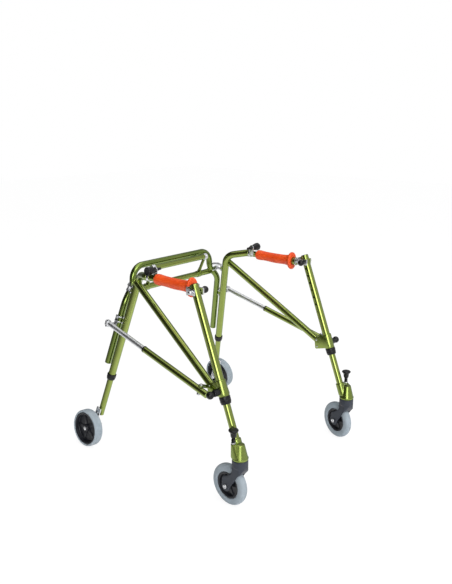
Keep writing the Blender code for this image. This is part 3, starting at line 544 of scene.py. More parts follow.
def boolean(obj, others, operation="DIFFERENCE", sharp_angle=38):
    for other in others:
        modify(obj, "BOOLEAN", operation=operation, object=other, solver="EXACT")
    baked(obj, sharp_angle)
    for other in others:
        bpy.data.objects.remove(other, do_unlink=True)
    return obj


def add_face(shape, uv_layer, corners):
    """A face from (vertex, u, v) corners."""
    face = shape.faces.new([corner[0] for corner in corners])
    for loop, (_, u, v) in zip(face.loops, corners):
        loop[uv_layer].uv = (u, v)


def sweep(name, path, radius, segments=40, bore=None, open_start=False, open_end=False,
          closed=False, wobble=None):
    """A round section along a path. UVs: u round the tube, v in metres along it.

    An open end gets a bore; wobble scales the radius by the share of the way along.
    """
    chamfer = 0.0006
    bore_depth = 0.018
    count = len(path)
    stations = []
    length = 0.0
    for i, point in enumerate(path):
        if closed:
            step = path[(i + 1) % count] - path[i - 1]
        else:
            step = path[min(i + 1, count - 1)] - path[max(i - 1, 0)]
        tangent = step.normalized()
        if i:
            length += (point - path[i - 1]).length
            normal = stations[-1][1].rotation_difference(tangent) @ normal
        else:
            normal = Vector((1, 0, 0)) if abs(tangent.x) < 0.9 else Vector((0, 0, 1))
        normal = (normal - tangent * normal.dot(tangent)).normalized()
        stations.append((point, tangent, normal.copy(), tangent.cross(normal), length))
    shape = bmesh.new()
    uv_layer = shape.loops.layers.uv.new("UVMap")

    def ring(i, ring_radius, shift=0.0):
        point, tangent, normal, side_on, v = stations[i]
        grow = wobble(i / count) if wobble else 1.0
        verts = []
        for k in range(segments):
            angle = math.tau * k / segments
            spoke = normal * math.cos(angle) + side_on * math.sin(angle)
            verts.append(shape.verts.new(point + tangent * shift + spoke * ring_radius * grow))
        return verts, v + shift

    def skin(low, high):
        for k in range(segments):
            corners = [
                (verts[(k + turn) % segments], (k + turn) / segments, v)
                for (verts, v), turn in ((low, 0), (low, 1), (high, 1), (high, 0))
            ]
            add_face(shape, uv_layer, corners)

    if closed:
        rings = [ring(i, radius) for i in range(count)]
        for low, high in zip(rings, rings[1:] + rings[:1]):
            skin(low, high)
    else:
        rings = [ring(0, radius - chamfer), ring(0, radius, chamfer)]
        rings += [ring(i, radius) for i in range(1, count - 1)]
        rings += [ring(-1, radius, -chamfer), ring(-1, radius - chamfer)]
        for low, high in zip(rings, rings[1:]):
            skin(low, high)
        for end, hollow, depth in ((0, open_start, bore_depth), (-1, open_end, -bore_depth)):
            last = rings[end]
            if hollow:
                inner = bore or radius - 0.0016
                lip, last = ring(end, inner), ring(end, inner, depth)
                skin(rings[end], lip)
                skin(lip, last)
            shape.faces.new(last[0])
    outward(shape)
    return mesh_object(name, shape)


def lathe(name, profile, place, segments=64, fillet=0.0006, modulate=None):
    """A profile of (radius, height) pairs turned about the place's z axis.

    A profile that stays off the axis is closed into a ring. modulate(angle, radius,
    height) scales the radius.
    """
    is_ring = profile[0][0] > 1e-6 or profile[-1][0] > 1e-6
    if fillet and is_ring:
        # round the seam too, then drop the repeated ends
        profile = soften(profile + profile[:2], fillet)[1:-1]
    elif fillet:
        profile = soften(profile, fillet)
    shape = bmesh.new()
    uv_layer = shape.loops.layers.uv.new("UVMap")
    rings = []
    travel = 0.0
    last = profile[0]
    for radius, height in profile:
        travel += math.hypot(radius - last[0], height - last[1])
        last = (radius, height)
        if radius < 1e-6:
            rings.append(([shape.verts.new(place @ Vector((0, 0, height)))], travel))
            continue
        verts = []
        for k in range(segments):
            angle = math.tau * k / segments
            reach = radius * (modulate(angle, radius, height) if modulate else 1.0)
            point = Vector((reach * math.cos(angle), reach * math.sin(angle), height))
            verts.append(shape.verts.new(place @ point))
        rings.append((verts, travel))
    pairs = list(zip(rings, rings[1:]))
    if is_ring:
        pairs.append((rings[-1], (rings[0][0], travel + 0.001)))
    for low, high in pairs:
        for k in range(segments):
            corners = []
            for (verts, v), turn in ((low, 0), (high, 0), (high, 1), (low, 1)):
                if len(verts) > 1:
                    corners.append((verts[(k + turn) % segments], (k + turn) / segments, v))
                elif turn == 0:
                    corners.append((verts[0], (k + 0.5) / segments, v))
            add_face(shape, uv_layer, corners)
    outward(shape)
    return mesh_object(name, shape, 42)


def slab(name, outline, thickness, place, edge=0.0006, segments=2, holes=()):
    """A flat outline given a thickness and rounded edges; holes are (x, y, radius)."""
    shape = bmesh.new()
    low = [shape.verts.new((x, y, -thickness / 2)) for x, y in outline]
    high = [shape.verts.new((x, y, thickness / 2)) for x, y in outline]
    shape.faces.new(low)
    shape.faces.new(high)
    for i in range(len(outline)):
        j = (i + 1) % len(outline)
        shape.faces.new((low[i], low[j], high[j], high[i]))
    outward(shape)
    obj = mesh_object(name, shape)
    if holes:
        boolean(obj, [
            lathe(name + "_hole", band(0, radius, 1, -1), axis((x, y, 0), UP), 28, fillet=0)
            for x, y, radius in holes
        ])
    if edge:
        modify(
            obj, "BEVEL", width=edge, segments=segments, limit_method="ANGLE",
            angle_limit=math.radians(35), miter_outer="MITER_ARC",
        )
        baked(obj)
    obj.data.transform(place)
    return obj


def joined(name, objs):
    """Several finished meshes carried as one piece."""
    shape = bmesh.new()
    for obj in objs:
        shape.from_mesh(obj.data)
        bpy.data.objects.remove(obj, do_unlink=True)
    return mesh_object(name, shape)


def hull_of(name, rings, segments=48):
    """The tight skin round a set of level circles: (centre, radius, height)."""
    shape = bmesh.new()
    for centre, radius, height in rings:
        for x, y in (
            (math.cos(math.tau * k / segments), math.sin(math.tau * k / segments))
            for k in range(segments)
        ):
            shape.verts.new((centre.x + radius * x, centre.y + radius * y, height))
    done = bmesh.ops.convex_hull(shape, input=shape.verts)
    loose = done["geom_interior"] + done["geom_unused"]
    spare = {item for item in loose if isinstance(item, bmesh.types.BMVert)}
    bmesh.ops.delete(shape, geom=list(spare), context="VERTS")
    outward(shape)
    return mesh_object(name, shape)


def blended(name, objs, voxel, smoothing):
    """Overlapping solids grown into one moulded skin with soft inner corners."""
    obj = joined(name, objs)
    size = voxel
    modify(obj, "REMESH", mode="VOXEL", voxel_size=size, use_smooth_shade=True)
    modify(obj, "SMOOTH", factor=0.5, iterations=smoothing)
    return baked(obj, sharp_angle=0)


def weld(name, start, direction, radius, other_at, other_dir, other_radius, size):
    """A rippled bead round the line where one tube meets another."""
    ripples, ripple_depth = 44, 0.16
    direction = Vector(direction).normalized()
    other = Vector(other_dir).normalized()
    place = axis(start, direction).to_3x3()
    count = 96
    bead = []
    for i in range(count):
        angle = math.tau * i / count
        spoke = place.col[0] * math.cos(angle) + place.col[1] * math.sin(angle)
        point = Vector(start) + spoke * radius
        offset = point - Vector(other_at)
        # both seen square to the other tube; the nearer root is where the line enters it
        heading = direction - other * direction.dot(other)
        offset = offset - other * offset.dot(other)
        square, linear = heading.dot(heading), 2 * heading.dot(offset)
        constant = offset.dot(offset) - other_radius ** 2
        root = math.sqrt(max(0.0, linear * linear - 4 * square * constant))
        bead.append(point + direction * ((-linear - root) / (2 * square)))
    return sweep(
        name, bead, size, 12, closed=True,
        wobble=lambda t: 1.0 + ripple_depth * math.sin(t * math.tau * ripples),
    )


def hex_head(name, at, out, across_flats, height, washer):
    """A hexagon head on a washer."""
    thick = 0.0010
    place = axis(at, out)
    head = slab(
        name + "_hex", hexagon(across_flats / 2 / math.cos(math.radians(30))), height,
        place @ Matrix.Translation((0, 0, height / 2 + thick)),
    )
    ring = lathe(name + "_washer", band(0, washer, 0, 0.0011), place, 36, fillet=0.0003)
    return joined(name, [head, ring])


def socket_head(name, at, out, radius, height):
    """A round screw head: knurled rim, round recess."""
    profile = [
        (0, 0), (radius, 0), (radius, height), (radius * 0.55, height),
        (radius * 0.5, height * 0.45), (0, height * 0.42),
    ]

    def knurl(angle, ring_radius, ring_height):
        if ring_radius > radius * 0.95 and 0.0005 < ring_height < height - 0.0005:
            return 1.0 - 0.02 * (math.sin(angle * 24) > 0)
        return 1.0

    return lathe(name, profile, axis(at, out), 48, fillet=0.0004, modulate=knurl)


def copy_node(name, node, edge, segments=2):
    """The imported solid's own shape, its facets merged and its edges rounded."""
    shape = bmesh.new()
    shape.from_mesh(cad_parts[node].data)
    bmesh.ops.transform(shape, matrix=FROM_ROW, verts=shape.verts)
    bmesh.ops.remove_doubles(shape, verts=shape.verts, dist=0.00002)
    bmesh.ops.dissolve_limit(
        shape, angle_limit=math.radians(1.2), verts=shape.verts, edges=shape.edges,
    )
    outward(shape)
    obj = mesh_object(name, shape)
    modify(
        obj, "BEVEL", width=edge, segments=segments, limit_method="ANGLE",
        angle_limit=math.radians(40), use_clamp_overlap=True,
    )
    return baked(obj, 44)


def piece(obj, body, material, slot, *nodes):
    obj.data.transform(TO_ROW)
    obj.data.materials.clear()
    obj.data.materials.append(material)
    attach(obj, body)
    if nodes:
        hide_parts(*nodes)


# =====================================================================
# rear frame: bow, crossbar, back bar
# =====================================================================
def bow_leg_at(z):
    return rear_at(z) + REARWARD * BOW_BACK


def bow():
    """The bow tube; returns the path of its left half."""
    top = Vector((0.1840, 0.2350, 0.6220))
    neck = Vector((0.1880, 0.2345, 0.5600))
    half = rounded(
        [Vector((0.05, top.y, top.z)), top, neck, bow_leg_at(0.5060), bow_leg_at(0.2830)],
        [0.044, 0.040, 0.060],
    )
    path = [mirror(-1, point) for point in reversed(half)] + half
    tube = sweep("bow_tube", path, BOW_R, 44, open_start=True, open_end=True)
    # the bow takes the darker painted-shade copy of the lime anodised
    piece(tube, "rear_frame", GREEN_PAINTED_SHADE, "green_anodised", "rear_bow_tube")
    return half


def crossbar(bow_half):
    end = Vector((CROSS_HALF, CROSS.y, CROSS.z))
    inner = Vector((CROSS_HALF - 0.0070, CROSS.y, CROSS.z))
    path = [mirror(-1, end)] + straight(mirror(-1, inner), inner, 12) + [end]
    piece(
        sweep("crossbar_tube", path, CROSSBAR_R),
        "rear_frame", GREEN, "green_anodised", "lower_crossbar_tube",
    )
    near = min(bow_half, key=lambda point: abs(point.z - CROSS.z))
    index = bow_half.index(near)
    bow_dir = bow_half[min(index + 1, len(bow_half) - 1)] - bow_half[index - 1]
    for sign, tag in ((-1, "right"), (1, "left")):
        bead = weld(
            "crossbar_weld_" + tag, Vector((sign * 0.12, CROSS.y, CROSS.z)),
            Vector((sign, 0, 0)), CROSSBAR_R,
            mirror(sign, near), mirror(sign, bow_dir.normalized()), BOW_R, size=0.0015,
        )
        piece(bead, "rear_frame", WELD, "green_anodised")


def back_bar():
    end = Vector((BACK_BAR_HALF, BACK_BAR.y, BACK_BAR.z))
    piece(
        sweep("back_bar_tube", straight(mirror(-1, end), end), BACK_BAR_R),
        "rear_frame", GREEN, "green_anodised", "back_bar",
    )
    collar_profile = mirrored([
        (0, 0.0078), (0.0085, 0.0078), (0.0112, 0.0066), (0.0118, 0.0048), (0.0118, 0.0012),
        (0.0110, 0.0004),
    ])
    saddle_profile = mirrored([
        (CROSSBAR_R - 0.0002, 0.0085), (CROSSBAR_R + 0.0012, 0.0085),
        (CROSSBAR_R + 0.0016, 0.0070),
    ])
    for sign, tag in ((-1, "right"), (1, "left")):
        centre = mirror(sign, end)
        collar = lathe(
            "back_bar_collar_" + tag, collar_profile, axis(centre, (sign, 0, 0)), 56,
            fillet=0.0005,
        )
        piece(collar, "rear_frame", SILVER_FIT, "green_anodised")
        # post down to the crossbar: (half width, distance down)
        foot = Vector((sign * BACK_BAR_HALF, CROSS.y, CROSS.z))
        down = foot - centre
        reach = down.length - CROSSBAR_R + 0.0006
        flank = [(0.0062, 0.006), (0.0052, reach * 0.35), (0.0056, reach * 0.75),
                 (0.0078, reach)]
        outline = [(-flank[0][0], flank[0][1])] + flank
        outline += [(-width, depth) for width, depth in reversed(flank[1:])]
        place = axes(centre, down, (1, 0, 0)) @ side_plane()
        post = slab("back_bar_post_" + tag, outline, 0.0046, place, edge=0.0010, segments=3)
        piece(post, "rear_frame", GREEN_CAST, "green_anodised")
        saddle = lathe(
            "crossbar_saddle_" + tag, saddle_profile, axis(foot, (1, 0, 0)), 48, fillet=0.0004,
        )
        piece(saddle, "rear_frame", GREEN_CAST, "green_anodised")


# =====================================================================
# one side
# =====================================================================
class Side:
    """One side of the frame: its names, its mirroring and its caster's frame."""

    def __init__(self, sign, tag, swivel_degrees):
        self.sign = sign
        self.tag = tag
        self.out = self.at((1, 0, 0))
        self.inward = self.at((-1, 0, 0))
        self.front_up = self.at(-FRONT_DIR)
        self.rear_up = self.at(-REAR_DIR)
        self.stem = self.at(STEM)
        turn = Matrix.Rotation(math.radians(swivel_degrees), 4, "Z")
        self.swivel = Matrix.Translation(self.stem) @ turn
        self.axle = self.swivel @ Vector((0, TRAIL, WHEEL_R))
        self.across = (self.swivel.to_3x3() @ Vector((1, 0, 0))).normalized()

    def name(self, text):
        return self.tag + "_" + text

    def at(self, point):
        return mirror(self.sign, point)

    def path(self, start, end, steps=8):
        return [self.at(point) for point in straight(start, end, steps)]

    def hinge(self, z):
        """Frame of a hinge pin: z up the leg, x rearward."""
        pin = self.at(rear_at(z) + REARWARD * HINGE_BACK)
        return axes(pin, self.rear_up, self.at(REARWARD))

    def piece(self, obj, body, material, slot, *nodes):
        """piece(), with the body and the nodes named for this side."""
        piece(obj, self.name(body), material, slot, *(self.name(node) for node in nodes))


def hinge_brackets(side):
    for which, z in HINGES.items():
        node = side.name(which + "_hinge_bracket")
        bracket = copy_node(node + "_body", node, 0.0005)
        piece(bracket, "rear_frame", SILVER_FIT, "bright_alloy", node)
        place = side.hinge(z)
        screw = socket_head(
            node + "_screw", place.translation + side.rear_up * 0.0098, side.rear_up,
            radius=0.0042, height=0.0036,
        )
        piece(screw, "rear_frame", STEEL, "bright_alloy")
        if which == "lower":
            screw = socket_head(
                node + "_saddle_screw", place @ Vector((0.0170, -side.sign * 0.0157, 0.0040)),
                place.to_3x3() @ Vector((0, -side.sign, 0)), radius=0.0038, height=0.0026,
            )
            piece(screw, "rear_frame", STEEL, "bright_alloy")


def rear_leg_tube(side):
    """The rear leg, bent forward at the top into the handle's stub."""
    path = rounded(
        [rear_at(REAR_TUBE_END_Z), rear_at(0.6080), Vector((HANDLE_X, 0.1000, HANDLE_Z)),
         Vector((HANDLE_X, STUB_END_Y, HANDLE_Z))],
        [0.040, 0.020],
    )
    path = side.path(path[0], path[1])[:-1] + [side.at(point) for point in path[1:]]
    tube = sweep(side.name("rear_leg"), path, LEG_R, 44, bore=0.0112, open_start=True)
    side.piece(tube, "side_frame", GREEN, "green_anodised", "rear_leg_tube")


def hinge_knuckles(side):
    half_height = 0.0064
    lug_outline = [(-0.0110, -0.0034), (-0.0008, -0.0036), (-0.0008, 0.0036), (-0.0110, 0.0034)]
    for which, z in HINGES.items():
        place = side.hinge(z)
        barrel = lathe(
            side.name(which + "_barrel"), band(0, 0.0048, half_height, -half_height), place, 40,
            fillet=0.0005,
        )
        lug = slab(side.name(which + "_lug"), lug_outline, 0.0122, place, edge=0.0007)
        knuckle = joined(side.name(which + "_knuckle"), [barrel, lug])
        side.piece(knuckle, "side_frame", GREEN_CAST, "green_anodised")


def bushings(side):
    """Black collars where the lower legs slide in: bead, waist groove and taper."""
    for which, leg_at, leg_up, heights, radius, bore in (
        ("rear", rear_at, side.rear_up, REAR_BUSHING_Z, 0.0155, 0.0108),
        ("front", front_at, side.front_up, FRONT_BUSHING_Z, 0.0168, 0.0113),
    ):
        length = (leg_at(heights[0]) - leg_at(heights[1])).length
        profile = [
            (bore, length * 0.5), (radius - 0.0004, length * 0.5), (radius, length * 0.42),
            (radius, length * 0.10), (radius - 0.0007, length * 0.06), (radius - 0.0007, 0.0),
            (radius, -length * 0.04), (radius - 0.0006, -length * 0.22),
            (radius - 0.0020, -length * 0.5), (bore, -length * 0.5),
        ]
        place = axis(side.at(leg_at((heights[0] + heights[1]) / 2)), leg_up)
        collar = lathe(side.name(which + "_collar"), profile, place, 60, fillet=0.0005)
        side.piece(collar, "side_frame", BLACK, "black_plastic", which + "_leg_bushing")


def diagonal_brace(side):
    path = side.path(BRACE_TOP, BRACE_END, 10)
    tube = sweep(side.name("brace"), path, BRACE_R, 44, open_end=True)
    side.piece(tube, "side_frame", GREEN, "green_anodised", "diagonal_brace")
    bead = weld(
        side.name("brace_weld"), path[3], side.at(BRACE_TOP - BRACE_END), BRACE_R,
        side.at(rear_at(0.5800)), side.at(REAR_DIR), LEG_R, size=0.0016,
    )
    side.piece(bead, "side_frame", WELD, "green_anodised")


def front_upright(side):
    """The upright tube with its row of holes on the inner face, and its cap."""
    low = front_at(UPRIGHT_END_Z)
    place = axis(side.at(low), side.front_up)
    tall = (FRONT_TOP - low).length
    bore = 0.0111
    rim = tall - 0.0012
    profile = [(LEG_R, tall * share) for share in (0.0, 0.2, 0.4, 0.6, 0.8)]
    profile += [(LEG_R, rim), (bore, rim), (bore, 0.0)]
    tube = lathe(side.name("upright"), profile, place, 56, fillet=0.0004)
    cutters = []
    for i in range(HOLE_COUNT):
        start = FRONT_TOP + FRONT_DIR * (FIRST_HOLE + HOLE_PITCH * i) - Vector((0.005, 0, 0))
        cutters.append(lathe(
            side.name("hole"), band(0, HOLE_R, 0.0, 0.020), axis(side.at(start), side.inward),
            26, fillet=0,
        ))
    boolean(tube, cutters)
    side.piece(tube, "side_frame", GREEN, "green_anodised", "front_upright_tube")
    cap_profile = [
        (0, tall), (0.0085, tall - 0.0001), (0.0112, tall - 0.0006), (0.0121, tall - 0.0016),
        (0.0108, tall - 0.0020), (0.0108, tall - 0.0140), (0, tall - 0.0140),
    ]
    cap = lathe(side.name("upright_cap"), cap_profile, place, 48, fillet=0.0003)
    side.piece(cap, "side_frame", BLACK, "black_plastic")


def gusset(side):
    """The sleeve round the upright and the riveted cheeks either side of the brace's end."""
    low, high = (front_at(z) for z in SLEEVE_Z)
    tall = (high - low).length
    bore, radius = 0.0129, 0.0160
    profile = [
        (bore, 0.0), (radius, 0.0), (radius, 0.0100), (radius, tall - 0.0100),
        (radius, tall - 0.0006), (radius - 0.0010, tall), (bore, tall),
    ]
    sleeve = lathe(side.name("sleeve"), profile, axis(side.at(low), side.front_up), 60)
    side.piece(sleeve, "side_frame", GREEN_CAST, "green_anodised", "gusset_bracket")
    # y, z
    cheek_outline = [
        (-0.2620, 0.3350), (-0.2090, 0.3205), (-0.2045, 0.3225), (-0.1998, 0.3590),
        (-0.2030, 0.3620), (-0.2430, 0.3745),
    ]
    rivet_places = ((-0.2120, 0.3300), (-0.2085, 0.3530))
    rivet_profile = [(0, 0.0016), (0.0016, 0.0014), (0.0030, 0.0008), (0.0034, 0.0), (0, 0.0)]
    for label, x, facing in (("inner", INNER_CHEEK_X, -1), ("outer", OUTER_CHEEK_X, 1)):
        cheek = slab(
            side.name("cheek_" + label), cheek_outline, 0.0025, side_plane(side.sign * x),
            edge=0.0007,
        )
        side.piece(cheek, "side_frame", GREEN_CAST, "green_anodised")
        for k, (y, z) in enumerate(rivet_places):
            place = axis(side.at((x + facing * 0.00122, y, z)), side.at((facing, 0, 0)))
            name = side.name("rivet_%s_%d" % (label, k))
            rivet = lathe(name, rivet_profile, place, 32, fillet=0.0002)
            side.piece(rivet, "side_frame", STEEL, "green_anodised")


def strut_mount(side):
    """The ear from the outer cheek over the strut, with the pin, head and nut through it."""
    pin_at = side.at(STRUT_PIN)
    up = side.rear_up
    place = axes(pin_at, up, side.inward)
    reach = STRUT_PIN.x - OUTER_CHEEK_X
    outline = disc_points((0, 0), 0.0085, 90, 270, 14) + [
        (reach * 0.55, -0.0040), (reach + 0.0006, 0.0030), (reach + 0.0006, 0.0240),
        (reach * 0.55, 0.0160),
    ]
    ear = slab(
        side.name("strut_ear"), [(x, side.sign * y) for x, y in outline], 0.0034,
        place @ Matrix.Translation((0, 0, STRUT_R + 0.0026)),
    )
    side.piece(ear, "side_frame", GREEN_CAST, "green_anodised")
    pin = lathe(
        side.name("strut_pin"), band(0, 0.0030, 0.0120, -0.0125), place, 28, fillet=0.0003,
    )
    side.piece(pin, "side_frame", STEEL, "bright_alloy")
    for label, at, out, height in (
        ("head", pin_at + up * 0.0146, up, 0.0032), ("nut", pin_at - up * 0.0118, -up, 0.0036),
    ):
        end = hex_head(
            side.name("strut_pin_" + label), at, out, across_flats=0.0088, height=height,
            washer=0.0058,
        )
        side.piece(end, "side_frame", STEEL, "bright_alloy")


def leg_lock(side):
    """The notched barrel outside the gusset and its ball knob."""
    place = axis(side.at((0.2908, -0.2452, 0.3455)), side.out)
    profile = [
        (0.0040, 0.0195), (0.0078, 0.0195), (0.0100, 0.0172), (0.0103, 0.0130),
        (0.0096, 0.0124), (0.0096, 0.0108), (0.0104, 0.0100), (0.0105, 0.0), (0.0040, 0.0),
    ]

    def notches(angle, radius, height):
        if radius > 0.0100 and 0.001 < height < 0.0095:
            return 1.0 - 0.030 * (math.cos(angle * 12) > 0.2)
        return 1.0

    barrel = lathe(
        side.name("lock_barrel"), profile, place, 48, fillet=0.0005, modulate=notches,
    )
    side.piece(barrel, "side_frame", BLACK, "black_plastic", "leg_lock_barrel")
    profile = disc_points((0, 0.0330), 0.0115, 90, -60, 22) + [
        (0.0055, 0.0222), (0.0055, 0.0202), (0.0034, 0.0199), (0.0034, 0.0030), (0, 0.0030),
    ]
    ball = lathe(side.name("lock_ball"), profile, place, 52, fillet=0.0003)
    side.piece(ball, "leg_knob", BLACK, "black_plastic", "leg_lock_knob")


def handle_bar(side):
    """The bar under the grip and the ring at its joint with the rear leg's stub."""
    inset = Vector((0, 0.0003, 0))
    start = Vector((HANDLE_X, STUB_END_Y, HANDLE_Z))
    end = Vector((HANDLE_X, HANDLE_FRONT_Y, HANDLE_Z))
    path = side.path(start - inset, end - inset)[:-1] + [side.at(end)]
    bar = sweep(side.name("handle_bar_tube"), path, HANDLE_R)
    side.piece(bar, "side_frame", GREEN, "green_anodised", "handle_bar")
    ring = lathe(
        side.name("handle_joint_ring"),
        mirrored([(0.0104, 0.0055), (0.0122, 0.0055), (0.0127, 0.0046)]),
        axis(side.at((HANDLE_X, STUB_END_Y - 0.0060, HANDLE_Z)), (0, 1, 0)), 52, fillet=0.0004,
    )
    side.piece(ring, "side_frame", SILVER_FIT, "bright_alloy")


def corner_knob(side):
    """The lug standing on the handle bar's rear end and the fluted knob through it."""
    lug_inner, lug_outer = HANDLE_X - 0.0135, HANDLE_X - 0.0105
    y, z = 0.0690, 0.6460
    lug_r = 0.0095
    outline = disc_points((y, z), lug_r, 0, 180, 18) + [(y - lug_r, 0.6180), (y + lug_r, 0.6180)]
    lug = slab(
        side.name("knob_lug"), outline, 0.0030,
        side_plane(side.sign * (lug_inner + lug_outer) / 2), holes=[(y, z, 0.0050)],
    )
    side.piece(lug, "side_frame", SILVER_FIT, "green_anodised")
    profile = [
        (0, 0.0335), (0.0070, 0.0336), (0.0110, 0.0348), (0.0130, 0.0340), (0.0140, 0.0312),
        (0.0140, 0.0270), (0.0105, 0.0120), (0.0078, 0.0006), (0.0046, 0.0004),
        (0.0046, -0.0036), (0.0062, -0.0038), (0.0062, -0.0100), (0.0045, -0.0130),
        (0.0040, -0.0240), (0, -0.0240),
    ]
    knob = lathe(
        side.name("corner_knob_body"), profile, axis(side.at((lug_outer, y, z)), side.out), 72,
        modulate=flutes(count=9, depth=0.045, min_radius=0.0100, min_height=0.010),
    )
    side.piece(knob, "corner_knob", BLACK, "black_plastic", "rear_corner_knob")


# distance forward from the grip's rear end, half width, half height, drop of the middle
GRIP_STATIONS = [
    (0.0000, 0.0142, 0.0142, 0.0), (0.0030, 0.0166, 0.0168, 0.0),
    (0.0080, 0.0174, 0.0177, 0.0), (0.0160, 0.0174, 0.0176, 0.0),
    (0.0260, 0.0166, 0.0167, 0.0), (0.0380, 0.0159, 0.0161, 0.0003),
    (0.0520, 0.0156, 0.0162, 0.0007), (0.0680, 0.0155, 0.0167, 0.0012),
    (0.0840, 0.0156, 0.0170, 0.0014), (0.1000, 0.0158, 0.0168, 0.0010),
    (0.1140, 0.0161, 0.0166, 0.0005), (0.1260, 0.0166, 0.0170, 0.0),
    (0.1360, 0.0174, 0.0184, 0.0), (0.1420, 0.0184, 0.0210, 0.0),
    (0.1458, 0.0198, 0.0250, 0.0), (0.1476, 0.0212, 0.0284, 0.0),
    (0.1492, 0.0218, 0.0296, 0.0), (0.1520, 0.0220, 0.0300, 0.0),
    (0.1546, 0.0217, 0.0296, 0.0), (0.1560, 0.0208, 0.0286, 0.0),
    (0.1566, 0.0182, 0.0240, 0.0), (0.1570, 0.0150, 0.0160, 0.0),
]


def grip(side):
    """The vinyl grip: a ribbed holding part and a tall flange at the front."""
    segments = 64
    bore = 0.0107
    station_gap = 0.0016
    rib_pitch, rib_height = 0.0052, 0.00022
    stations = []
    for here, after in zip(GRIP_STATIONS, GRIP_STATIONS[1:]):
        parts = max(1, int((after[0] - here[0]) / station_gap))
        for k in range(parts):
            t = k / parts
            stations.append(tuple(a + (b - a) * t for a, b in zip(here, after)))
    stations.append(GRIP_STATIONS[-1])
    stations += [(GRIP_STATIONS[-1][0], bore, bore, 0.0), (0.0, bore, bore, 0.0)]
    shape = bmesh.new()
    shape.loops.layers.uv.new("UVMap")
    rings = []
    for distance, half_width, half_height, drop in stations:
        rib = 0.0
        if 0.030 < distance < 0.125:
            rib = rib_height * (0.5 + 0.5 * math.cos(distance * math.tau / rib_pitch))
        ring = []
        for k in range(segments):
            angle = math.tau * k / segments
            ring.append(shape.verts.new(side.at((
                HANDLE_X + (half_width + rib) * math.cos(angle),
                GRIP_REAR_Y - distance,
                HANDLE_Z - drop + (half_height + rib) * math.sin(angle),
            ))))
        rings.append(ring)
    for low, high in zip(rings, rings[1:] + rings[:1]):
        for k in range(segments):
            j = (k + 1) % segments
            shape.faces.new((low[k], low[j], high[j], high[k]))
    outward(shape)
    skin = mesh_object(side.name("grip_vinyl"), shape, 50)
    side.piece(skin, "side_frame", ORANGE, "orange_vinyl", "handle_grip")


def handle_clamp(side):
    """The clamp at the handle bar's front end, its dome nut outside and its ball inside."""
    boss = lathe(
        side.name("clamp_boss"), band(0.0104, 0.0134, 0.0, -0.0145),
        axis(side.at((HANDLE_X, -0.1080, HANDLE_Z)), (0, 1, 0)), 48,
    )
    side.piece(boss, "side_frame", GREEN_CAST, "bright_alloy")
    node = side.name("handle_clamp")
    body = copy_node(node + "_body", node, 0.0009, segments=3)
    side.piece(body, "side_frame", SILVER_FIT, "bright_alloy", "handle_clamp")
    profile = [
        (0, 0.0130), (0.0024, 0.0127), (0.0046, 0.0112), (0.0060, 0.0088), (0.0066, 0.0060),
        (0.0066, 0.0040), (0.0080, 0.0036), (0.0080, 0.0004), (0, 0.0004),
    ]
    place = axis(side.at((0.2889, -0.1430, 0.6212)), side.out)
    nut = lathe(side.name("clamp_dome_nut"), profile, place, 48, fillet=0.0004)
    side.piece(nut, "side_frame", SILVER, "bright_alloy")
    profile = disc_points((0, 0.0156), 0.0106, 90, -55, 20) + [
        (0.0050, 0.0050), (0.0050, 0.0004), (0.0029, 0.0004), (0.0029, -0.0052), (0, -0.0052),
    ]
    place = axis(side.at((0.2536, -0.1470, 0.6212)), side.inward)
    ball = lathe(side.name("handle_ball"), profile, place, 48, fillet=0.0003)
    side.piece(ball, "handle_knob", BLACK, "black_plastic", "handle_lock_knob")


def front_leg_tube(side):
    path = side.path(front_at(FRONT_INNER_TOP_Z), front_at(LEG_END_Z))
    tube = sweep(side.name("front_leg_inner"), path, FRONT_INNER_R)
    side.piece(tube, "front_leg", GREEN, "green_anodised", "front_leg_tube")


def caster_housing(side):
    """The cast housing: a shell over stem and plunger, grown into the leg's socket."""
    low, high = HOUSING_Z
    boss_at = side.at(PLUNGER)
    # centre, radius, height
    rings = [
        (boss_at, 0.0079, high - 0.0006), (boss_at, 0.0079, low + 0.0050),
        (side.stem, 0.0132, high - 0.0030), (side.stem, 0.0158, low + 0.0220),
        (side.stem, 0.0200, low + 0.0085), (side.stem, 0.0236, low + 0.0040),
        (side.stem, 0.0238, low + 0.0012),
    ]
    shell = hull_of(side.name("housing_shell"), rings)
    socket_low, socket_high = front_at(0.1735), front_at(0.2120)
    socket = lathe(
        side.name("housing_socket"), band(0, 0.0148, 0, (socket_high - socket_low).length),
        axis(side.at(socket_low), side.front_up), 48, fillet=0.0008,
    )
    housing = blended(side.name("housing"), [shell, socket], voxel=0.0010, smoothing=6)
    leg_bore = lathe(
        side.name("cut_a"), band(0, 0.0112, 0, 0.08),
        axis(side.at(front_at(LEG_END_Z + 0.004)), side.front_up), 40, fillet=0,
    )
    plunger_bore = lathe(
        side.name("cut_b"), band(0, 0.0039, 0.183, 0.24), axis(boss_at, UP), 30, fillet=0,
    )
    boolean(housing, [leg_bore, plunger_bore], sharp_angle=40)
    side.piece(housing, "front_leg", GREEN_CAST, "green_anodised", "caster_housing")
    profile = [
        (0.0180, low + 0.0052), (0.0240, low + 0.0052), (0.0245, low + 0.0045),
        (0.0245, low + 0.0005), (0.0240, low), (0.0080, low), (0.0080, low + 0.0030),
    ]
    flange = lathe(side.name("housing_flange"), profile, axis(side.stem, UP), fillet=0.0004)
    side.piece(flange, "front_leg", GREEN_CAST, "green_anodised")
    screw = socket_head(
        side.name("socket_screw"), side.at(front_at(0.1960)) + side.out * 0.0150, side.out,
        radius=0.0040, height=0.0026,
    )
    side.piece(screw, "front_leg", STEEL, "green_anodised")


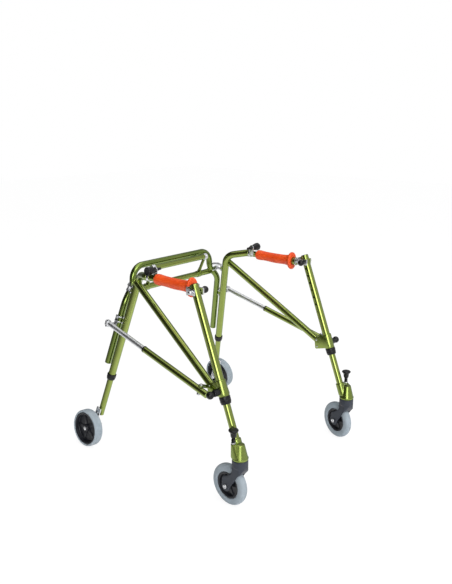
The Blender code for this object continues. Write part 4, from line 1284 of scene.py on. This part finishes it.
def swivel_plunger(side):
    """The pull knob on the housing, with its pin, nut and threaded bush."""
    boss_at = side.at(PLUNGER)
    place = axis(boss_at, UP)
    profile = [
        (0, 0.2535), (0.0070, 0.2534), (0.0120, 0.2530), (0.0144, 0.2518), (0.0150, 0.2503),
        (0.0148, 0.2482), (0.0126, 0.2460), (0.0104, 0.2440), (0.0094, 0.2410),
        (0.0090, 0.2360), (0.0084, 0.2320), (0.0076, 0.2285), (0.0042, 0.2280), (0, 0.2280),
    ]
    knob = lathe(
        side.name("plunger_knob"), profile, place, fillet=0.0005,
        modulate=flutes(count=16, depth=0.03, min_radius=0.0142),
    )
    side.piece(knob, "swivel_plunger", BLACK, "black_plastic", "swivel_lock_plunger")
    pin = lathe(
        side.name("plunger_pin"), band(0, 0.0036, 0.2285, 0.1960), place, 32, fillet=0.0003,
    )
    side.piece(pin, "swivel_plunger", SILVER, "black_plastic")
    nut_at = boss_at + Vector((0, 0, HOUSING_Z[1] - 0.0004))
    nut_height = 0.0044
    nut = slab(
        side.name("plunger_nut"), hexagon(0.0074), nut_height,
        Matrix.Translation(nut_at + Vector((0, 0, nut_height / 2))), holes=[(0, 0, 0.0040)],
    )
    side.piece(nut, "front_leg", STEEL, "bright_alloy")
    bore, start, half_pitch, ridges = 0.0041, 0.0045, 0.0007, 19
    thread = [(0.0056 - 0.0007 * (k % 2), start + half_pitch * k) for k in range(ridges)]
    profile = [(bore, start)] + thread + [(bore, start + half_pitch * ridges)]
    bush = lathe(side.name("plunger_bush"), profile, axis(nut_at, UP), 40, fillet=0)
    side.piece(bush, "front_leg", BLACK, "black_plastic")


# the fork from the side: y behind the stem, z
FORK_FRONT = [
    (-0.0240, 0.1580), (-0.0236, 0.1400), (-0.0212, 0.1305), (-0.0158, 0.1215),
    (-0.0066, 0.1105), (0.0030, 0.0975), (0.0108, 0.0835), (0.0185, 0.0735),
]
FORK_BACK = [
    (0.0553, 0.0800), (0.0505, 0.0930), (0.0405, 0.1060), (0.0300, 0.1170),
    (0.0232, 0.1270), (0.0205, 0.1360), (0.0222, 0.1450), (0.0240, 0.1580),
]
# radius about the stem, z
FORK_ENVELOPE = [
    (0, 0.1640), (0.0240, 0.1640), (0.0240, 0.1220), (0.0262, 0.1120), (0.0420, 0.0980),
    (0.0700, 0.0850), (0.0800, 0.0300), (0, 0.0300),
]


def caster_fork(side):
    """Arms cut from one block: trimmed to the envelope, hollowed for the wheel."""
    low, high = CROWN_Z
    stem_axis = axis(side.stem, UP)
    profile = [
        (0, high), (0.0225, high), (0.0238, high - 0.0015), (0.0238, low + 0.0020),
        (0.0215, low), (0, low),
    ]
    crown = lathe(side.name("crown"), profile, stem_axis, fillet=0.0008)
    outline = FORK_FRONT + disc_points((TRAIL, WHEEL_R), 0.0160, 188, 388, 18) + FORK_BACK
    arm = slab(side.name("fork_arm"), outline, 0.0404, side.swivel @ side_plane(), edge=0)
    envelope = lathe(side.name("fork_envelope"), FORK_ENVELOPE, stem_axis, 72, fillet=0)
    boolean(arm, [envelope], "INTERSECT")
    well = lathe(
        side.name("fork_well"), band(0, 0.0668, 0.0148, -0.0148), axis(side.axle, side.across),
        96, fillet=0,
    )
    boolean(arm, [well])
    fork = blended(side.name("fork"), [arm, crown], voxel=0.0009, smoothing=7)
    cutters = []
    for sign in (-1, 1):
        # label, radius, start from the wheel's middle, depth, segments
        for label, radius, start, depth, segments in (
            ("fork_cut", 0.0047, 0.010, 0.05, 32), ("fork_seat", 0.0078, 0.0198, 0.02, 40),
        ):
            place = axis(side.axle + side.across * sign * start, side.across * sign)
            cutters.append(
                lathe(side.name(label), band(0, radius, 0, depth), place, segments, fillet=0)
            )
    boolean(fork, cutters, sharp_angle=40)
    side.piece(fork, "caster", SLATE, "slate_plastic", "caster_fork")
    spacer = lathe(
        side.name("stem_spacer"), band(0.0062, 0.0150, 0.1610, 0.1594), stem_axis, 40,
        fillet=0.0002,
    )
    side.piece(spacer, "caster", STEEL, "bright_alloy")


def front_axle(side):
    half = 0.0208
    shaft = lathe(
        side.name("axle_shaft"), band(0, 0.0040, half, -half), axis(side.axle, side.across),
        32, fillet=0.0003,
    )
    side.piece(shaft, "caster", STEEL, "bright_alloy", "front_axle_bolt")
    profile = [
        (0, 0.0206), (0.0068, 0.0206), (0.0068, 0.0230), (0.0062, 0.0242), (0.0040, 0.0248),
        (0.0034, 0.0234), (0, 0.0232),
    ]
    for k, sign in enumerate((-1, 1)):
        place = axis(side.axle, side.across * sign)
        head = lathe(side.name("axle_head_%d" % k), profile, place, 40, fillet=0.0003)
        side.piece(head, "caster", STEEL, "bright_alloy")


def wheel_hub(side, which, place, rim_r, half_rim, boss_r, half_boss, half_web, spokes,
              spoke_width, half_spoke):
    """A moulded hub: rim, thin web, ribs and a bored boss."""
    label = side.name(which)
    rim_profile = mirrored([
        (rim_r - 0.0075, half_rim - 0.0012), (rim_r - 0.0030, half_rim + 0.0002),
        (rim_r, half_rim - 0.0006),
    ]) + mirrored([(rim_r - 0.0085, -half_web - 0.0020), (rim_r - 0.0100, -half_web)])
    boss_profile = mirrored([
        (0.0045, half_boss), (boss_r - 0.0010, half_boss), (boss_r, half_boss - 0.0012),
        (boss_r + 0.0012, half_web),
    ])
    solids = [
        lathe(label + "_rim", rim_profile, place, 96),
        lathe(
            label + "_web", band(boss_r * 0.8, rim_r - 0.0080, half_web, -half_web), place, 96,
            fillet=0.0003,
        ),
        lathe(label + "_boss", boss_profile, place, fillet=0.0005),
    ]
    inner, outer = boss_r * 0.85, rim_r - 0.0085
    outline = [
        (inner, -spoke_width * 0.62), (outer, -spoke_width * 0.40),
        (outer, spoke_width * 0.40), (inner, spoke_width * 0.62),
    ]
    for k in range(spokes):
        turned = place @ Matrix.Rotation(math.tau * k / spokes, 4, "Z")
        solids.append(
            slab(label + "_spoke_%d" % k, outline, half_spoke * 2, turned, edge=0.0008)
        )
    hub = joined(label + "_hub", solids)
    side.piece(hub, which + "_wheel", HUB, "black_plastic", which + "_wheel_hub")


def wheel_tyre(side, which, place, half_profile, segments):
    tyre = lathe(
        side.name(which + "_tyre"), mirrored(half_profile), place, segments, fillet=0.0003,
    )
    side.piece(tyre, which + "_wheel", TYRE, "grey_tyre", which + "_wheel_tyre")


# half sections of the tyres: radius, distance from the wheel's middle plane
FRONT_TYRE = [
    (0.0415, 0.0112), (0.0428, 0.0122), (0.0460, 0.0129), (0.0500, 0.0131), (0.0540, 0.0127),
    (0.0575, 0.0117), (0.0603, 0.0098), (0.0622, 0.0070), (0.0631, 0.0040), (0.0634, 0.0013),
    (0.0629, 0.0009),
]
REAR_TYRE = [
    (0.0560, 0.0145), (0.0572, 0.0153), (0.0592, 0.0156), (0.0612, 0.0146), (0.0625, 0.0128),
    (0.0633, 0.0098), (0.0635, 0.0060), (0.0631, 0.0056), (0.0631, 0.0044), (0.0635, 0.0040),
]


def front_wheel(side):
    place = axis(side.axle, side.across)
    wheel_hub(
        side, "front", place, rim_r=FRONT_TYRE[0][0], half_rim=0.0110, boss_r=0.0105,
        half_boss=0.0138, half_web=0.0032, spokes=6, spoke_width=0.0070, half_spoke=0.0058,
    )
    wheel_tyre(side, "front", place, FRONT_TYRE, 128)
    for k, sign in enumerate((-1, 1)):
        bearing_ring = lathe(
            side.name("front_bearing_%d" % k), band(0.0046, 0.0088, 0.0132, 0.0141),
            axis(side.axle, side.across * sign), 40, fillet=0.0002,
        )
        side.piece(bearing_ring, "front_wheel", STEEL, "black_plastic")


def rear_lower_leg(side):
    """The sliding lower leg and the axle bracket at its foot."""
    path = side.path(rear_at(REAR_INNER_TOP_Z), rear_at(REAR_INNER_END_Z))
    tube = sweep(side.name("rear_leg_inner"), path, REAR_INNER_R, open_end=True)
    side.piece(tube, "rear_leg", GREEN, "green_anodised", "rear_leg_inner_tube")
    node = side.name("rear_axle_bracket")
    bracket = copy_node(node + "_body", node, 0.0006)
    side.piece(bracket, "rear_leg", SILVER_FIT, "bright_alloy", "rear_axle_bracket")
    out = side.at((math.cos(CAMBER), 0, math.sin(CAMBER)))
    plate_at = side.at(REAR_WHEEL) - out * 0.0245
    head = hex_head(
        side.name("rear_axle_head"), plate_at - out * 0.0246, -out, across_flats=0.0120,
        height=0.0046, washer=0.0078,
    )
    side.piece(head, "rear_leg", STEEL, "bright_alloy")
    # screws on the line from the axle toward the leg, in the plate's plane
    toward = side.at(rear_at(0.1200)) - plate_at
    toward = toward - out * toward.dot(out)
    for k, share in enumerate((0.90, 1.16)):
        screw = socket_head(
            side.name("bracket_screw_%d" % k), plate_at + toward * share + out * 0.0016, out,
            radius=0.0042, height=0.0030,
        )
        side.piece(screw, "rear_leg", STEEL, "bright_alloy")


def rear_wheel(side):
    out = side.at((math.cos(CAMBER), 0, math.sin(CAMBER)))
    place = axis(side.at(REAR_WHEEL), out)
    wheel_hub(
        side, "rear", place, rim_r=REAR_TYRE[0][0], half_rim=0.0138, boss_r=0.0125,
        half_boss=0.0110, half_web=0.0028, spokes=5, spoke_width=0.0110, half_spoke=0.0050,
    )
    wheel_tyre(side, "rear", place, REAR_TYRE, 144)
    profile = [
        (0, 0.0134), (0.0050, 0.0133), (0.0078, 0.0124), (0.0090, 0.0108), (0.0090, 0.0100),
        (0, 0.0100),
    ]
    cap = lathe(side.name("rear_hub_cap"), profile, place, 56, fillet=0.0004)
    side.piece(cap, "rear_wheel", HUB, "black_plastic")


def strut(side):
    """The telescoping strut: a sleeve at the front, a rod with an eye at the rear."""
    sleeve = sweep(
        side.name("strut_sleeve"), side.path(STRUT_SPLIT, STRUT_FRONT), STRUT_R, bore=0.0092,
        open_start=True,
    )
    side.piece(sleeve, "strut_outer", GREEN, "green_anodised", "strut_outer_tube")
    path = side.path(STRUT_REAR + STRUT_DIR * 0.0090, STRUT_SPLIT + STRUT_DIR * 0.1550)
    rod = sweep(side.name("strut_rod_bar"), path, ROD_R, 36)
    eye = side.at(STRUT_REAR)
    ring = lathe(
        side.name("strut_eye_ring"), band(0.0040, 0.0098, 0.0070, -0.0074),
        axis(eye, side.rear_up), 48, fillet=0.0008,
    )
    rod = joined(side.name("strut_rod"), [rod, ring])
    side.piece(rod, "strut_inner", ROD, "bright_alloy", "strut_inner_rod")
    head = hex_head(
        side.name("strut_eye_head"), eye + side.rear_up * 0.0068, side.rear_up,
        across_flats=0.0092, height=0.0020, washer=0.0064,
    )
    side.piece(head, "strut_inner", STEEL, "bright_alloy")
    profile = [(0.0084, 0.0), (0.0108, 0.0), (0.0108, 0.0040), (0.0104, 0.0048), (0.0084, 0.0048)]
    place = axis(side.at(STRUT_SPLIT - STRUT_DIR * 0.0040), side.at(STRUT_DIR))
    wiper = lathe(side.name("strut_wiper"), profile, place, 44, fillet=0.0003)
    side.piece(wiper, "strut_outer", BLACK, "green_anodised")


SIDE_BUILDERS = (
    hinge_brackets, rear_leg_tube, hinge_knuckles, bushings, diagonal_brace, front_upright,
    gusset, strut_mount, leg_lock, handle_bar, corner_knob, grip, handle_clamp,
    front_leg_tube, caster_housing, swivel_plunger, caster_fork, front_axle, front_wheel,
    rear_lower_leg, rear_wheel, strut,
)

crossbar(bow())
back_bar()
for walker_side in (
    Side(-1, "right", swivel_degrees=-3.0), Side(1, "left", swivel_degrees=-16.0),
):
    for build in SIDE_BUILDERS:
        build(walker_side)


# =====================================================================
# floor, light and camera
# =====================================================================
CAM_PLACE = Vector((-1.596, -1.441 - CENTRE_Y, 1.116))
CAM_FORWARD = Vector((0.7206, 0.6432, -0.2588))
CAM_RIGHT = Vector((0.6659, -0.7461, 0.0))
BACK = -Vector((CAM_FORWARD.x, CAM_FORWARD.y, 0)).normalized()

# Light seen by the frame but not by the camera. Columns: bearing and elevation,
# half-angles where the patch starts and stops fading (all in degrees), strength.
ENV_BASE = 0.40
ENV_LIGHTS = [
    (0, 14, 7, 22, 5.5),
    (70, 8, 30, 70, 0.34),
    (0, 88, 15, 50, 0.7),
    (0, -90, 50, 84, 0.75),
]
# here the strength is the share of the light taken away
ENV_DARKS = [
    (-56, 34, 36, 50, 0.90),
    (-120, 30, 34, 56, 0.85),
]


def bearing(degrees, elevation):
    """A direction by its bearing from straight behind the camera, right positive."""
    turn, lift = math.radians(degrees), math.radians(elevation)
    flat = BACK * math.cos(turn) + CAM_RIGHT.normalized() * math.sin(turn)
    return flat * math.cos(lift) + Vector((0, 0, math.sin(lift)))


def build_world():
    """White to the camera; a room of light and dark patches to everything else."""
    scene = bpy.context.scene
    world = scene.world or bpy.data.worlds.new("studio")
    scene.world = world
    world.use_nodes = True
    world.node_tree.nodes.clear()
    nodes = Nodes(world.node_tree)
    direction = nodes.add("ShaderNodeTexCoord").outputs["Generated"]

    def patch(degrees, elevation, inner, outer, strength):
        """The strength inside the inner half-angle, fading to 0 at the outer."""
        aim = bearing(degrees, elevation).normalized()
        dot = nodes.add(
            "ShaderNodeVectorMath", {0: direction, 1: aim}, operation="DOT_PRODUCT",
        ).outputs["Value"]
        over = (math.cos(math.radians(outer)), math.cos(math.radians(inner)))
        return nodes.spread(dot, to=(0.0, strength), over=over, interpolation_type="SMOOTHERSTEP")

    value = ENV_BASE
    for light in ENV_LIGHTS:
        value = nodes.math("ADD", value, patch(*light))
    for dark in ENV_DARKS:
        value = nodes.math("MULTIPLY", value, nodes.math("SUBTRACT", 1.0, patch(*dark)))
    grey = nodes.add("ShaderNodeCombineColor", {0: value, 1: value, 2: value}).outputs[0]
    lit = nodes.add("ShaderNodeBackground", {"Color": grey, "Strength": 1.0})
    seen = nodes.add("ShaderNodeBackground", {"Color": (1.0, 1.0, 1.0), "Strength": 1.0})
    is_camera = nodes.add("ShaderNodeLightPath").outputs["Is Camera Ray"]
    mixer = nodes.add(
        "ShaderNodeMixShader", {"Fac": is_camera, 1: lit.outputs[0], 2: seen.outputs[0]},
    )
    nodes.add("ShaderNodeOutputWorld", {"Surface": mixer.outputs[0]})


def floor_material():
    """Pale floor: mostly plain white to the camera and clear to reflections."""
    mat = Material("pale_floor")
    grain = mat.noise(mat.coords(), scale=6.0, detail=3, roughness=0.55)
    colour = mat.ramp(grain, [(0.3, (0.86, 0.865, 0.87)), (0.7, (0.90, 0.90, 0.905))])
    mat.finish(Base_Color=colour, Roughness=0.75, Specular_IOR_Level=0.1)
    rays = mat.add("ShaderNodeLightPath").outputs
    glow = mat.add("ShaderNodeEmission", {"Color": (1, 1, 1), "Strength": 1.12})
    clear = mat.add("ShaderNodeBsdfTransparent")
    glow_share = mat.math("MULTIPLY", rays["Is Camera Ray"], 0.80)
    white = mat.add(
        "ShaderNodeMixShader", {"Fac": glow_share, 1: mat.bsdf.outputs[0], 2: glow.outputs[0]},
    )
    through = mat.add(
        "ShaderNodeMixShader",
        {"Fac": rays["Is Glossy Ray"], 1: white.outputs[0], 2: clear.outputs[0]},
    )
    mat.feed(mat.tree.nodes["Material Output"].inputs["Surface"], through.outputs[0])
    return mat.material


def build_floor():
    shape = bmesh.new()
    bmesh.ops.create_grid(shape, x_segments=1, y_segments=1, size=9.0)
    floor = mesh_object("floor", shape, 0)
    floor.data.materials.append(floor_material())


def area(name, location, target, size, power):
    """A square area light aimed at the target."""
    data = bpy.data.lights.new(name, "AREA")
    data.shape = "RECTANGLE"
    data.size = size
    data.size_y = size
    data.energy = power
    obj = bpy.data.objects.new(name, data)
    obj.location = location
    obj.rotation_mode = "QUATERNION"
    obj.rotation_quaternion = (Vector(target) - Vector(location)).to_track_quat("-Z", "Y")
    bpy.context.scene.collection.objects.link(obj)


def build_camera():
    data = bpy.data.cameras.new("camera")
    data.sensor_width = 36.0
    data.lens = 41.15
    data.clip_start = 0.05
    data.clip_end = 60
    camera = bpy.data.objects.new("camera", data)
    up = CAM_RIGHT.cross(CAM_FORWARD).normalized()
    forward = CAM_FORWARD.normalized()
    right = forward.cross(up).normalized()
    turn = Matrix((right, up, -forward)).transposed().to_4x4()
    camera.matrix_world = Matrix.Translation(CAM_PLACE) @ turn
    bpy.context.scene.collection.objects.link(camera)
    bpy.context.scene.camera = camera


build_world()
build_floor()
key_target = Vector((0, 0, 0.3))
area("key", key_target + bearing(28, 48) * 3.4, target=key_target, size=1.6, power=34)
area("top", (0.2, 0.3, 3.2), target=(0, 0, 0), size=3.0, power=22)
build_camera()
bpy.context.scene.view_settings.view_transform = "Standard"
